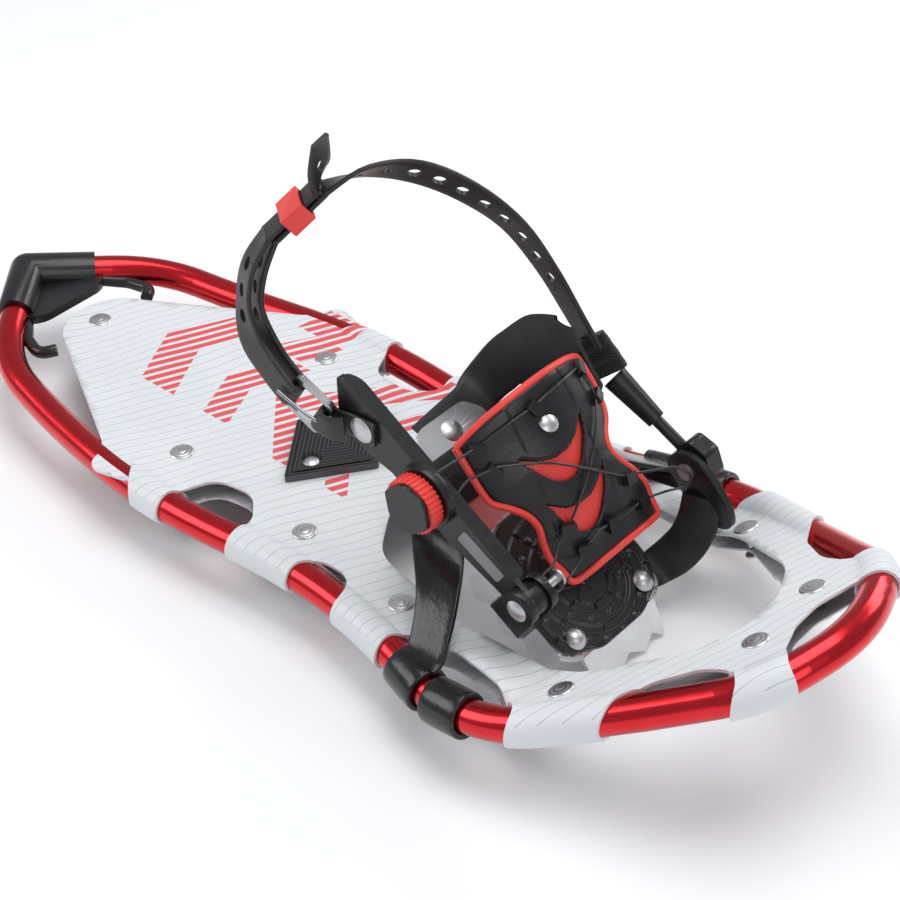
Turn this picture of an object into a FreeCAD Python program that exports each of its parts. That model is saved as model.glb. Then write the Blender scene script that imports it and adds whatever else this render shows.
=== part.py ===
import FreeCAD, Part
import math
import os

V = FreeCAD.Vector

# Frame of the part, in millimetres: +X towards the toe, +Y towards the inner (left) side of a right
# snowshoe, +Z up.  The origin is the middle of the heel pad's top face, where the boot heel lands.

# ---- driving dimensions ----------------------------------------------------------------------
TUBE_R = 7.95            # outer radius of the bent aluminium frame tube
TUBE_WALL = 1.5
TUBE_Z = -11.0           # height of the tube's centre line where the frame is flat
TOE_BEND_X = 182.7       # where the toe turns up
TOE_SLOPE = 0.511        # rise per millimetre ahead of the bend
DECK_T = 1.5
DECK_LIFT = 6.0          # underside of the deck above the tube's centre line
PAD_T = 3.5              # heel pad, from the deck to the origin
STRAP_W = 25.0           # suspension strap
STRAP_T = 2.8
PITCH = 34.0             # heel-up pitch of the binding at rest, in degrees
BINDING_AT = V(169.7, 0.0, -15.65)    # middle of the two toe screws on the foot plate
PLATE_TOP = -1.0         # heights and lengths below are in the binding's own frame
PLATE_T = 2.0
PAD_TOP = 3.0
HINGE_X = -25.5          # ankle hinge of the harness
HINGE_Z = 35.0
PIN_R = 3.0
RUNNING = 0.05           # radial clearance of a running fit
RAIL_OUT = -56.0         # outer face of the right side rail
DIAL_X = -88.0
DIAL_Z = 35.0
GAP = 0.4                # clearance between soft pieces and the pieces beside them

# Half of the frame tube's bend points: distance ahead of the tail corner, half width, rise.
TAIL_X = -242.0
TUBE_BENDS = [
    (0.0, 0.0, 14.0),
    (46.2, 56.6, 5.5),
    (99.1, 68.0, 0.0),
    (186.7, 82.1, 0.0),
    (309.4, 70.5, 0.0),
    (414.0, 101.0, 0.0),
    (474.5, 70.8, 25.5),
    (524.0, 44.4, 50.8),
    (535.3, 9.9, 56.6),
]


# ---- geometry helpers ------------------------------------------------------------------------
def corner(before, point, after, radius):
    """Start, middle and end of the arc that rounds a corner, as large as its runs allow."""
    u = (before - point).normalize()
    v = (after - point).normalize()
    half = math.acos(max(-1.0, min(1.0, u.dot(v)))) / 2
    if half > math.radians(89.7):
        return None
    reach = min((before - point).Length, (after - point).Length) * 0.4999
    if radius:
        reach = min(reach, radius / math.tan(half))
    bend = reach * math.tan(half)
    middle = (u + v).normalize()
    centre = point + middle * (bend / math.sin(half))
    return point + u * reach, centre - middle * bend, point + v * reach


def rounded_wire(points, radius=None, closed=False):
    """Straight runs joined by tangent arcs."""
    pts = [V(*p) for p in points]
    count = len(pts)
    edges = []
    last = None if closed else pts[0]
    first = last
    for i in range(count) if closed else range(1, count - 1):
        arc = corner(pts[i - 1], pts[i], pts[(i + 1) % count], radius)
        if arc is None:
            continue
        start, middle, end = arc
        if last is not None and (start - last).Length > 1e-3:
            edges.append(Part.LineSegment(last, start).toShape())
        if first is None:
            first = start
        edges.append(Part.Arc(start, middle, end).toShape())
        last = end
    finish = first if closed else pts[-1]
    if (finish - last).Length > 1e-3:
        edges.append(Part.LineSegment(last, finish).toShape())
    return Part.Wire(edges)


def tube(points, radius, bend=None):
    """A round bar along a rounded path."""
    path = rounded_wire(points, bend)
    start = V(*points[0])
    along = (V(*points[1]) - start).normalize()
    ring = Part.Wire([Part.makeCircle(radius, start, along)])
    return path.makePipeShell([ring], True, False)


def plate(points, z, thick, radius=None):
    """A flat plate with a rounded outline, from height z upwards."""
    wire = rounded_wire([(x, y, z) for x, y in points], radius, closed=True)
    return Part.Face(wire).extrude(V(0, 0, thick))


def side_plate(points, y, thick, radius=None):
    """A plate standing in the XZ plane, from y towards +Y."""
    wire = rounded_wire([(x, y, z) for x, z in points], radius, closed=True)
    return Part.Face(wire).extrude(V(0, thick, 0))


def ribbon(stations, thick):
    """A flat band through stations (centre, width direction, width), as one closed solid."""
    rings = []
    count = len(stations)
    for i, (centre, across, width) in enumerate(stations):
        here = V(*centre)
        ahead = V(*stations[min(i + 1, count - 1)][0]) - V(*stations[max(i - 1, 0)][0])
        ahead.normalize()
        side = V(*across)
        side = (side - ahead * side.dot(ahead)).normalize()
        out = side.cross(ahead).normalize()
        corners = [
            here + side * (width / 2) + out * (thick / 2),
            here - side * (width / 2) + out * (thick / 2),
            here - side * (width / 2) - out * (thick / 2),
            here + side * (width / 2) - out * (thick / 2),
        ]
        rings.append(Part.makePolygon(corners + [corners[0]]))
    band = Part.makeLoft(rings, True, True)
    if band.Volume < 0:
        band.reverse()
    return band


def cylinder_y(radius, x, z, y0, y1):
    return Part.makeCylinder(radius, abs(y1 - y0), V(x, min(y0, y1), z), V(0, 1, 0))


def dome(radius, height, at, axis=V(0, 0, 1)):
    """The low cap of a ball, for rivet and screw heads."""
    ball = (radius * radius + height * height) / (2 * height)
    sphere = Part.makeSphere(ball, at - axis * (ball - height))
    keep = Part.makeCylinder(radius + 1, height + 1, at, axis)
    return sphere.common(keep)


def rivet(at, axis, head_r, head_h, shank_r, grip, tail_r, tail_h):
    """A rivet whose head sits on the face at `at`, with its tail `grip` below."""
    body = dome(head_r, head_h, at, axis)
    body = body.fuse(Part.makeCylinder(shank_r, grip + 0.4, at + axis * 0.2, axis * -1))
    return body.fuse(Part.makeCylinder(tail_r, tail_h, at - axis * grip, axis * -1))


def in_binding(shape):
    """Turn a shape made in the binding's own level frame to where the binding rests."""
    placed = shape.copy()
    placed.rotate(V(0, 0, 0), V(0, 1, 0), PITCH)
    placed.translate(BINDING_AT)
    return placed


NODES = {}


def node(name, *shapes, binding=False):
    """Keep one or more closed solids under a node name."""
    solids = []
    for shape in shapes:
        solids.extend(shape.Solids)
    for solid in solids:
        if not solid.isValid() or solid.Volume < 0.5:
            raise RuntimeError(f"{name}: a solid is not sound, volume {solid.Volume}")
    part = solids[0] if len(solids) == 1 else Part.makeCompound(solids)
    NODES[name] = in_binding(part) if binding else part


# ---- frame: tube, tail cap, deck ---------------------------------------------------------------
def tube_point(bend, side):
    x, half, rise = bend
    return (TAIL_X + x, side * half, TUBE_Z + rise)


def frame_path():
    near = [tube_point(b, -1) for b in TUBE_BENDS]
    far = [tube_point(b, 1) for b in reversed(TUBE_BENDS)]
    return near + far


def along_tail(side, distance):
    """A point on the tail leg of one side, at a distance from the tail corner."""
    a = V(*tube_point(TUBE_BENDS[0], side))
    b = V(*tube_point(TUBE_BENDS[1], side))
    return a + (b - a).normalize() * distance


TUBE_END = 9.0


def swept_frame(radius, start):
    points = frame_path()
    points[0] = tuple(along_tail(-1, start))
    points[-1] = tuple(along_tail(1, start))
    return tube(points, radius)


def make_frame_tube():
    inner = swept_frame(TUBE_R - TUBE_WALL, TUBE_END)
    node("frame_tube", swept_frame(TUBE_R, TUBE_END).cut(inner))


def make_tail_cap():
    cap_r = TUBE_R + 2.3
    sleeve = 37.0
    corner_at = along_tail(1, 0.0)
    body = Part.makeSphere(cap_r, corner_at)
    for side in (-1, 1):
        run = along_tail(side, sleeve) - corner_at
        body = body.fuse(Part.makeCylinder(cap_r, sleeve, corner_at, run.normalize()))
    z = corner_at.z - 4.0
    web = [(TAIL_X + 5, 0), (TAIL_X + 27, -31), (TAIL_X + 38, -22), (TAIL_X + 38, 22), (TAIL_X + 27, 31)]
    body = body.fuse(plate(web, z - 4.0, 5.0))
    for side in (-1, 1):
        hook = [
            (TAIL_X + 27, side * 24, z - 3),
            (TAIL_X + 42, side * 36, z - 5),
            (TAIL_X + 56, side * 40, z - 6),
            (TAIL_X + 62, side * 32, z - 5),
        ]
        body = body.fuse(tube(hook, 3.4, 12))
    for side in (-1, 1):
        run = along_tail(side, 60.0) - along_tail(side, TUBE_END)
        bore = Part.makeCylinder(TUBE_R, 60.0, along_tail(side, TUBE_END), run.normalize())
        body = body.cut(bore)
    keep_off = swept_frame(TUBE_R + 0.05, TUBE_END + 2)
    node("tail_cap", body.cut(keep_off))


def bent_slab(bottom, thick, x0, x1, width):
    """A level sheet that follows the turned-up toe, from `bottom` above the tube's centre line."""
    bend_r = 60.0
    half = math.atan(TOE_SLOPE) / 2
    wires = []
    for lift, radius in ((bottom, bend_r - bottom), (bottom + thick, bend_r - bottom - thick)):
        shift = lift * math.tan(half)
        knee = TOE_BEND_X - shift
        z = TUBE_Z + lift
        wires.append([(x0, z), (knee, z), (x1, z + (x1 - knee) * TOE_SLOPE)])
    low, high = wires
    ring = [V(x, -width, z) for x, z in low] + [V(x, -width, z) for x, z in reversed(high)]
    face = Part.Face(Part.makePolygon(ring + [ring[0]]))
    return face.extrude(V(0, 2 * width, 0))


def deck_height(x):
    """Height of the deck's top face."""
    knee = TOE_BEND_X - (DECK_LIFT + DECK_T) * math.tan(math.atan(TOE_SLOPE) / 2)
    return TUBE_Z + DECK_LIFT + DECK_T + max(0.0, x - knee) * TOE_SLOPE


def deck_normal(x):
    if x < TOE_BEND_X:
        return V(0, 0, 1)
    return V(-TOE_SLOPE, 0, 1).normalize()


# Cut-outs beside the tabs that wrap the tube, on one side; x from the tail corner.
SIDE_CUTS = [
    [(206, 125), (204, 78), (214, 57), (238, 54), (250, 66), (250, 125)],
    [(286, 125), (289, 76), (295, 66), (313, 66), (321, 77), (318, 125)],
    [(354, 125), (355, 77), (386, 74), (414, 77), (433, 90), (440, 125)],
    [(470, 125), (471, 72), (478, 56), (493, 44), (507, 42), (515, 52), (519, 62), (524, 125)],
]
TOE_CUT = [(562, -40), (530, -38), (520, -25), (514, -8), (514, 8), (520, 25), (530, 38), (562, 40)]
# The toe hole is wider on the inner side, where the hinge arm swings through it.
TOE_HOLE_OUTER = [(296, 20), (314, 46), (372, 57), (440, 54), (479, 34), (493, 12)]
TOE_HOLE_INNER = [(296, 20), (314, 46), (372, 62), (438, 61.5), (480, 38), (493, 12)]
RIVETS = [(60.3, 0), (183.5, 51.3), (275.3, 56.5), (344.2, 64.0), (439.4, 67.4), (503.5, 20.7)]


def from_tail(points, side=1):
    return [(TAIL_X + x, side * y) for x, y in points]


def mirrored(points):
    """A closed outline from its half."""
    return from_tail(points) + list(reversed(from_tail(points, -1)))


def deck_rivet_points():
    points = []
    for x, y in RIVETS:
        for side in (1, -1) if y else (1,):
            points.append((TAIL_X + x, side * y))
    return points


def make_deck():
    bends = [(x, y) for x, y, rise in TUBE_BENDS[2:]]
    outline = mirrored([(45, 17), (151, 74), (155, 90)] + bends[1:])
    inside = plate(outline, -60, 160)
    tall = -60
    cuts = []
    for side in (1, -1):
        for points in SIDE_CUTS:
            cuts.append(plate(from_tail(points, side), tall, 170, 12))
    cuts.append(plate(from_tail(TOE_CUT), tall, 170, 14))
    around = from_tail(TOE_HOLE_INNER) + list(reversed(from_tail(TOE_HOLE_OUTER, -1)))
    hole = plate(around, tall, 170, 24)
    sheet = bent_slab(DECK_LIFT, DECK_T, TAIL_X + 30, TAIL_X + 548, 110).common(inside)
    sleeve = swept_frame(TUBE_R + DECK_T + 0.1, 60).cut(swept_frame(TUBE_R + 0.1, 59))
    keep = plate(mirrored([(150, 130), (560, 130)]), tall, 170)
    sleeve = sleeve.common(keep)
    under = bent_slab(-3.6, 1.0, TAIL_X + 30, TAIL_X + 548, 110).common(inside)
    middle = [(140, 36), (200, 40), (262, 44), (330, 54), (352, 65), (444, 65), (470, 44), (500, 11)]
    under = under.cut(plate(mirrored(middle), tall, 170, 10))
    tip = plate(mirrored([(30, 30), (150, 130)]), tall, 170)
    under = under.cut(tip)
    clear = swept_frame(TUBE_R + 0.1, 58)
    body = sheet.cut(clear).fuse(sleeve).fuse(under.cut(clear))
    for cut in cuts:
        body = body.cut(cut)
    body = body.cut(hole)
    for x, y in deck_rivet_points():
        top = V(x, y, deck_height(x))
        body = body.cut(Part.makeCylinder(2.4, 30, top + deck_normal(x) * 4, deck_normal(x) * -1))
    for x, y in HEEL_RIVETS:
        body = body.cut(Part.makeCylinder(2.4, 30, V(x, y, 4), V(0, 0, -1)))
    solids = sorted(body.Solids, key=lambda s: -s.Volume)
    node("deck", solids[0])


HEEL_RIVETS = [(0.0, -18.3), (0.0, 18.3)]
HEAD_SINK = 2.2          # the rivets' heads sit in counterbores, below the face of the pad


def make_deck_rivets():
    grip = DECK_LIFT + DECK_T + 3.7
    rivets = []
    for x, y in deck_rivet_points():
        top = V(x, y, deck_height(x))
        length = DECK_T + 0.1 if y == 0 else grip
        rivets.append(rivet(top, deck_normal(x), 6.2, 1.6, 2.3, length, 5.0, 1.0))
    node("deck_rivets", *rivets)


def make_heel():
    z = -PAD_T
    diamond = [(-28, 0), (0, -37), (28, 0), (0, 37)]
    pad = plate(diamond, z, PAD_T, 1.5)
    groove = plate([(-25, 0), (0, -33.5), (25, 0), (0, 33.5)], -0.8, 2, 1)
    groove = groove.cut(plate([(-23, 0), (0, -31), (23, 0), (0, 31)], -1.5, 3, 1))
    pad = pad.cut(groove)
    rivets = []
    crampon_top = TUBE_Z + DECK_LIFT - GAP / 4
    steel = 1.8
    for x, y in HEEL_RIVETS:
        pad = pad.cut(Part.makeCylinder(2.4, 20, V(x, y, -10), V(0, 0, 1)))
        pad = pad.cut(Part.makeCylinder(5.4, 5, V(x, y, -HEAD_SINK), V(0, 0, 1)))
        seat = V(x, y, -HEAD_SINK)
        rivets.append(rivet(seat, V(0, 0, 1), 5.0, 1.9, 2.3, seat.z - crampon_top + steel, 4.2, 1.0))
    node("heel_pad", pad)
    node("heel_pad_rivets", *rivets)
    base = plate([(-36, -28), (32, -22), (32, 22), (-36, 28)], crampon_top - steel, steel, 2)
    drop = crampon_top - NODES["toe_crampon"].BoundBox.ZMin
    teeth = [(-36, 0), (-36, -drop), (-26, -drop + 9), (-14, -drop), (-4, -drop + 9), (8, -drop),
             (18, -drop + 9), (30, -drop), (33, 0)]
    lean = 6.0 / 68.0
    for side in (-1, 1):
        blade = side_plate([(x, crampon_top + z) for x, z in teeth], 0, steel, 1.5)
        blade.translate(V(0, -steel / 2, 0))
        blade.rotate(V(0, 0, 0), V(0, 0, 1), math.degrees(math.atan(-side * lean)))
        blade.translate(V(0, side * 24.2, 0))
        base = base.fuse(blade)
    for x, y in HEEL_RIVETS:
        base = base.cut(Part.makeCylinder(2.4, 20, V(x, y, -15), V(0, 0, 1)))
    node("heel_crampon", base)


# ---- suspension straps ---------------------------------------------------------------------------
STRAP_X = -90.0
WRAPS = (134.0, 159.0)


def make_suspension():
    across = [
        ((STRAP_X, -35, PLATE_TOP + STRAP_T / 2 + 0.1), (1, 0, 0), STRAP_W),
        ((STRAP_X, 35, PLATE_TOP + STRAP_T / 2 + 0.1), (1, 0, 0), STRAP_W),
    ]
    node("strap_bridge", ribbon(across, STRAP_T), binding=True)
    sleeve_out = swept_frame(TUBE_R + 0.1 + STRAP_T, 60)
    sleeve_in = swept_frame(TUBE_R + 0.1, 59)
    sleeve = sleeve_out.cut(sleeve_in)
    turn = math.radians(PITCH)
    for side, label in ((-1, "right"), (1, "left")):
        start = in_binding(Part.Vertex(STRAP_X, side * (35 + GAP), PLATE_TOP + STRAP_T / 2)).Point
        end = V(137.0, side * 86.0, TUBE_Z + TUBE_R + 1.2)
        steps = 8
        level = (math.cos(turn), 0, -math.sin(turn))
        stations = [(tuple(start), level, STRAP_W)]
        start = start + V(0, side * 1.5, 0)
        first = V(107.0, side * 50.0, 27.0)
        second = V(140.0, side * 57.0, 10.0)
        for i in range(steps + 1):
            t = i / steps
            ease = t * t * (3 - 2 * t)
            tilt = turn * (1 - ease)
            centre = start * (1 - t) ** 3 + first * (3 * t * (1 - t) ** 2)
            centre = centre + second * (3 * t * t * (1 - t)) + end * t ** 3
            width = STRAP_W * (1 - 0.1 * t)
            stations.append((tuple(centre), (math.cos(tilt), 0, -math.sin(tilt)), width))
        arm = ribbon(stations, STRAP_T).cut(sleeve_in)
        loops = []
        for x in WRAPS:
            keep = Part.makeBox(21, 60, 80, V(x - 10.5, side * 95 - 30, -50))
            loops.append(sleeve.common(keep))
        body = arm.fuse(loops[0]).fuse(loops[1])
        link = ribbon(
            [((WRAPS[0], side * 85.0, -19.6), (0, 1, 0), 12), ((WRAPS[1], side * 85.0, -19.6), (0, 1, 0), 12)],
            STRAP_T,
        )
        body = body.fuse(link.cut(sleeve_in))
        node(f"suspension_strap_{label}", max(body.Solids, key=lambda s: s.Volume))


# ---- binding base: toe crampon, foot pad, hinge brackets, medial wall ------------------------------
SCREWS = [(0.0, -24.7), (0.0, 24.7)]
PLATE_RIVET_X = -109.0
ARM_T = 2.6
FRONT_DROP = (25.0, -12.0)      # lower edge of the front tooth row, ahead of and below the screws


def binding_point(x, z):
    """World height of a point given in the binding's own frame."""
    turn = math.radians(PITCH)
    return BINDING_AT.z - x * math.sin(turn) + z * math.cos(turn)


FLOOR_Z = binding_point(*FRONT_DROP)


def make_toe_crampon():
    low = PLATE_TOP - PLATE_T
    half = [(-118, 15), (-110, 22), (-62, 23), (-48, 35), (4, 35), (9, 28)]
    outline = half + [(x, -y) for x, y in reversed(half)]
    body = plate(outline, low, PLATE_T, 7)
    for side in (-1, 1):
        teeth = [(-50, low + 1), (-52, -16), (-44, -24), (-34, -15), (-24, -26), (-14, -15)]
        teeth += [(-3, -24), (4, low + 1)] if side < 0 else [(-11, low + 1)]
        flange = side_plate(teeth, side * 35 - (PLATE_T if side > 0 else 0), PLATE_T, 1.5)
        body = body.fuse(flange)
    run = V(FRONT_DROP[0] - 8, 0, FRONT_DROP[1] - low)
    length = run.Length
    row = [(-26, 0), (-24, length), (-17, length - 6), (-9, length - 1), (0, length - 6), (9, length - 1),
           (17, length - 6), (24, length), (26, 0)]
    wire = rounded_wire([(v, y, 0) for y, v in row], 1.5, closed=True)
    front = Part.Face(wire).extrude(V(0, 0, PLATE_T))
    front.rotate(V(0, 0, 0), V(0, 1, 0), math.degrees(math.atan2(-run.z, run.x)))
    front.translate(V(8, 0, low))
    body = body.fuse(front)
    for x, y in SCREWS + [(PLATE_RIVET_X, 0)]:
        body = body.cut(Part.makeCylinder(2.4, 10, V(x, y, -6), V(0, 0, 1)))
    node("toe_crampon", body, binding=True)


def make_foot_pad():
    half = [(-62, 20), (-54, 27), (-44, 36), (-8, 37), (4, 31), (11, 14)]
    outline = half + [(x, -y) for x, y in reversed(half)]
    pad = plate(outline, PLATE_TOP + 0.05, PAD_TOP - PLATE_TOP - 0.05, 9)
    centre = V(-19, 0, PAD_TOP - 0.9)
    for radius in (11.5, 22.0, 33.0):
        groove = Part.makeCylinder(radius + 0.8, 3, centre)
        groove = groove.cut(Part.makeCylinder(radius - 0.8, 3, centre))
        pad = pad.cut(groove)
    for x, y in SCREWS:
        pad = pad.cut(Part.makeCylinder(2.4, 10, V(x, y, -4), V(0, 0, 1)))
    pad = pad.cut(Part.makeBox(22, 10, 10, V(-36.5, -44.7, -4)))
    node("foot_pad", pad, binding=True)


def make_base_fixings():
    up = V(0, 0, 1)
    screws = []
    for x, y in SCREWS:
        grip = PAD_TOP - PLATE_TOP + PLATE_T + (ARM_T + 0.6 if y > 0 else 0.0)
        screws.append(rivet(V(x, y, PAD_TOP), up, 5.3, 3.4, 2.3, grip, 4.0, 1.6))
    node("toe_screws", *screws, binding=True)
    head = rivet(V(PLATE_RIVET_X, 0, PLATE_TOP), up, 5.6, 1.6, 2.3, PLATE_T + 3.6, 4.6, 1.0)
    node("plate_rivet", head, binding=True)


def make_right_bracket():
    outer = RAIL_OUT - 5
    inner = RAIL_OUT + 12.5
    section = [
        (-35, -1), (-43, -1), (-50, 9), (outer, 22), (outer, 44), (inner, 44), (inner, 26), (-39, 13), (-35, 8),
    ]
    wire = rounded_wire([(-36, y, z) for y, z in section], 2.5, closed=True)
    body = Part.Face(wire).extrude(V(24, 0, 0))
    profile = [(-37, -3), (-35, 18), (-34, 43.5), (-17, 43.5), (-16.5, 20), (-14, -3)]
    body = body.common(side_plate(profile, outer - 2, 50, 8))
    slot = Part.makeBox(40, 8.6, 40, V(-46, RAIL_OUT - 0.3, HINGE_Z - 12.5))
    body = body.cut(slot)
    body = body.cut(cylinder_y(PIN_R, HINGE_X, HINGE_Z, -80, -36))
    node("hinge_bracket_right", body, binding=True)
    pin = cylinder_y(PIN_R, HINGE_X, HINGE_Z, outer - 0.3, inner + 0.6)
    pin = pin.fuse(dome(5.2, 1.5, V(HINGE_X, outer, HINGE_Z), V(0, -1, 0)))
    pin = pin.fuse(cylinder_y(4.2, HINGE_X, HINGE_Z, inner, inner + 1.2))
    pin = pin.fuse(cylinder_y(2.0, HINGE_X, HINGE_Z, inner + 1.0, inner + 10.5))
    pin = pin.fuse(cylinder_y(4.2, HINGE_X, HINGE_Z, inner + 9.5, inner + 10.7))
    node("hinge_pin_right", pin, binding=True)


def make_left_arm():
    lead = (1, 0, 0)
    stations = [
        ((-2, 14, -4.7), lead, 15),
        ((-2, 35.5, -4.9), lead, 16),
        ((-1, 41.5, -1.5), lead, 18),
        ((0, 47, 7), lead, 20),
        ((-1, 51.5, 14.5), lead, 20),
        ((-5, 56.5, 22.5), lead, 19.5),
        ((-12, 61, 32.0), lead, 19),
    ]
    band = ribbon(stations, ARM_T)
    band = band.cut(Part.makeCylinder(2.4, 12, V(SCREWS[1][0], SCREWS[1][1], -10), V(0, 0, 1)))
    horn = [(3, 27), (6, 33), (-12, 43), (-26, 44), (-35, 37), (-33, 28), (-24, 26), (-11, 24)]
    body = band.fuse(side_plate(horn, 60.0, 3.6, 3))
    body = body.cut(cylinder_y(PIN_R, HINGE_X, HINGE_Z, 50, 70))
    node("hinge_arm_left", body, binding=True)
    pin = cylinder_y(PIN_R, HINGE_X, HINGE_Z, 58.4, 75.0)
    pin = pin.fuse(dome(5.2, 1.8, V(HINGE_X, 74.9, HINGE_Z), V(0, 1, 0)))
    pin = pin.fuse(cylinder_y(4.2, HINGE_X, HINGE_Z, 58.4, 60.0))
    node("hinge_pin_left", pin, binding=True)


WALL = [
    # centre, width; the wall runs from under the plate up the inner side of the foot
    ((-112, -12, -5.2), 20),
    ((-114, 20, -5.2), 20),
    ((-118, 30, -3.5), 22),
    ((-119, 38, 4.0), 24),
    ((-118, 42, 14.0), 26),
    ((-109, 44.5, 26.0), 42),
    ((-98, 46, 38.0), 46),
    ((-93, 47, 50.0), 28),
]


def make_medial_wall():
    stations = [(centre, (1, 0, 0), width) for centre, width in WALL]
    wall = ribbon(stations, 2.4)
    wall = wall.cut(Part.makeCylinder(2.4, 20, V(PLATE_RIVET_X, 0, -14), V(0, 0, 1)))
    node("medial_wall", wall, binding=True)


# ---- harness: side rails, instep shell, lace, heel strap -------------------------------------------
def make_right_rail():
    web = [
        (-154, 41), (-140, 19), (-121, 18), (-106, 23), (-70, 22), (-36, 27), (-24, 28), (-18, 35), (-24, 42),
        (-36, 41),
    ]
    body = side_plate(web, RAIL_OUT, 2.6, 3)
    edge = RAIL_OUT + 7.6
    flange = plate([(-153, RAIL_OUT), (-146, edge), (-35, edge), (-35, RAIL_OUT)], 38.4, 2.6)
    body = body.fuse(flange)
    knuckle = cylinder_y(7.4, HINGE_X, HINGE_Z, RAIL_OUT, RAIL_OUT + 7.8)
    body = body.fuse(knuckle)
    body = body.cut(cylinder_y(PIN_R + RUNNING, HINGE_X, HINGE_Z, -70, -40))
    body = body.cut(cylinder_y(2.1, -128, 29.5, -70, -40))
    recess = side_plate([(-66, 28), (-66, 36.5), (-40, 38), (-40, 30)], RAIL_OUT - 0.2, 1.0, 1.5)
    body = body.cut(recess).cut(lace_bar(LACE_R + 0.5))
    node("side_rail_right", body, binding=True)
    label = side_plate([(-65.8, 28.2), (-65.8, 36.3), (-40.2, 37.8), (-40.2, 30.2)], RAIL_OUT + 0.1, 0.7, 1.4)
    node("rail_badge", label, binding=True)
    head = rivet(V(-128, RAIL_OUT - 2.6, 29.5), V(0, -1, 0), 6.2, 1.6, 2.0, 5.3, 4.6, 1.0)
    node("rail_rivet", head, binding=True)


ROD_R = 2.9


def make_left_rail():
    outline = [(-36, 24), (-36, 44), (-25, 47), (-15, 40), (-15, 26), (-25, 21)]
    collar = side_plate(outline, 64.2, 9.8, 4)
    collar = collar.cut(cylinder_y(PIN_R + RUNNING, HINGE_X, HINGE_Z, 60, 80))
    collar = collar.cut(tube([(-33, 69, 34), (-70, 65, 35)], ROD_R + 0.1))
    node("hinge_collar_left", collar, binding=True)
    rod = tube([(-33.2, 69, 34), (-76, 64.4, 35.2)], ROD_R)
    node("rod_left", rod, binding=True)
    sleeve = Part.makeCone(4.6, 6.4, 28, V(-52.5, 66.9, 34.6), V(-1, -0.107, 0.028))
    sleeve = sleeve.cut(tube([(-33.2, 69, 34), (-76.5, 64.35, 35.2)], ROD_R + 0.05))
    node("rod_sleeve_left", sleeve, binding=True)
    cuff = ribbon(
        [((-82.5, 62.2, 37.5), (0, 0.25, 1), 19.5), ((-101, 59.0, 44.5), (0, 0.25, 1), 19)],
        5.0,
    )
    node("ankle_cuff_left", cuff.cut(strap_band(HEEL_W + 0.3, HEEL_T + 0.3)), binding=True)


# Sections of the instep shell: x, then y and z of its outer edge, crown and inner edge.
SHELL = [
    (-96, (-35, 44), (3, 66), (42, 50)),
    (-80, (-34, 38), (3, 58.5), (41, 47)),
    (-68, (-32, 34), (2, 54), (36, 46)),
    (-58, (-24, 35), (2, 48), (27, 45)),
    (-48, (-19, 31), (3, 43), (28, 43)),
    (-36, (-18, 21), (8, 35), (38, 34)),
    (-20, (-12, 15), (14, 26), (43, 20)),
]
SHELL_T = 2.4


def shell_height(x, y):
    """Height of the shell's outer face."""
    rows = SHELL
    for a, b in zip(rows, rows[1:]):
        if a[0] <= x <= b[0]:
            t = (x - a[0]) / (b[0] - a[0])
            points = [[p[k] + (q[k] - p[k]) * t for k in (0, 1)] for p, q in zip(a[1:], b[1:])]
            (y0, z0), (y1, z1), (y2, z2) = points
            total = z0 * (y - y1) * (y - y2) / ((y0 - y1) * (y0 - y2))
            total += z1 * (y - y0) * (y - y2) / ((y1 - y0) * (y1 - y2))
            return total + z2 * (y - y0) * (y - y1) / ((y2 - y0) * (y2 - y1))
    raise ValueError(x)


def shell_ring(x, edges, inset, low, high):
    """One closed section of the arch, between two depths below the outer face."""
    (y0, z0), (y1, z1), (y2, z2) = edges
    y_mid = (y0 + y2) / 2
    tops = [(y0 + inset, z0), (y_mid, shell_height(x, y_mid)), (y2 - inset, z2)]
    upper = [V(x, y, z - low) for y, z in tops]
    under = [V(x, y, z - high) for y, z in tops]
    return Part.Wire([
        Part.Arc(*upper).toShape(),
        Part.LineSegment(upper[2], under[2]).toShape(),
        Part.Arc(under[2], under[1], under[0]).toShape(),
        Part.LineSegment(under[0], upper[0]).toShape(),
    ])


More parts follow.
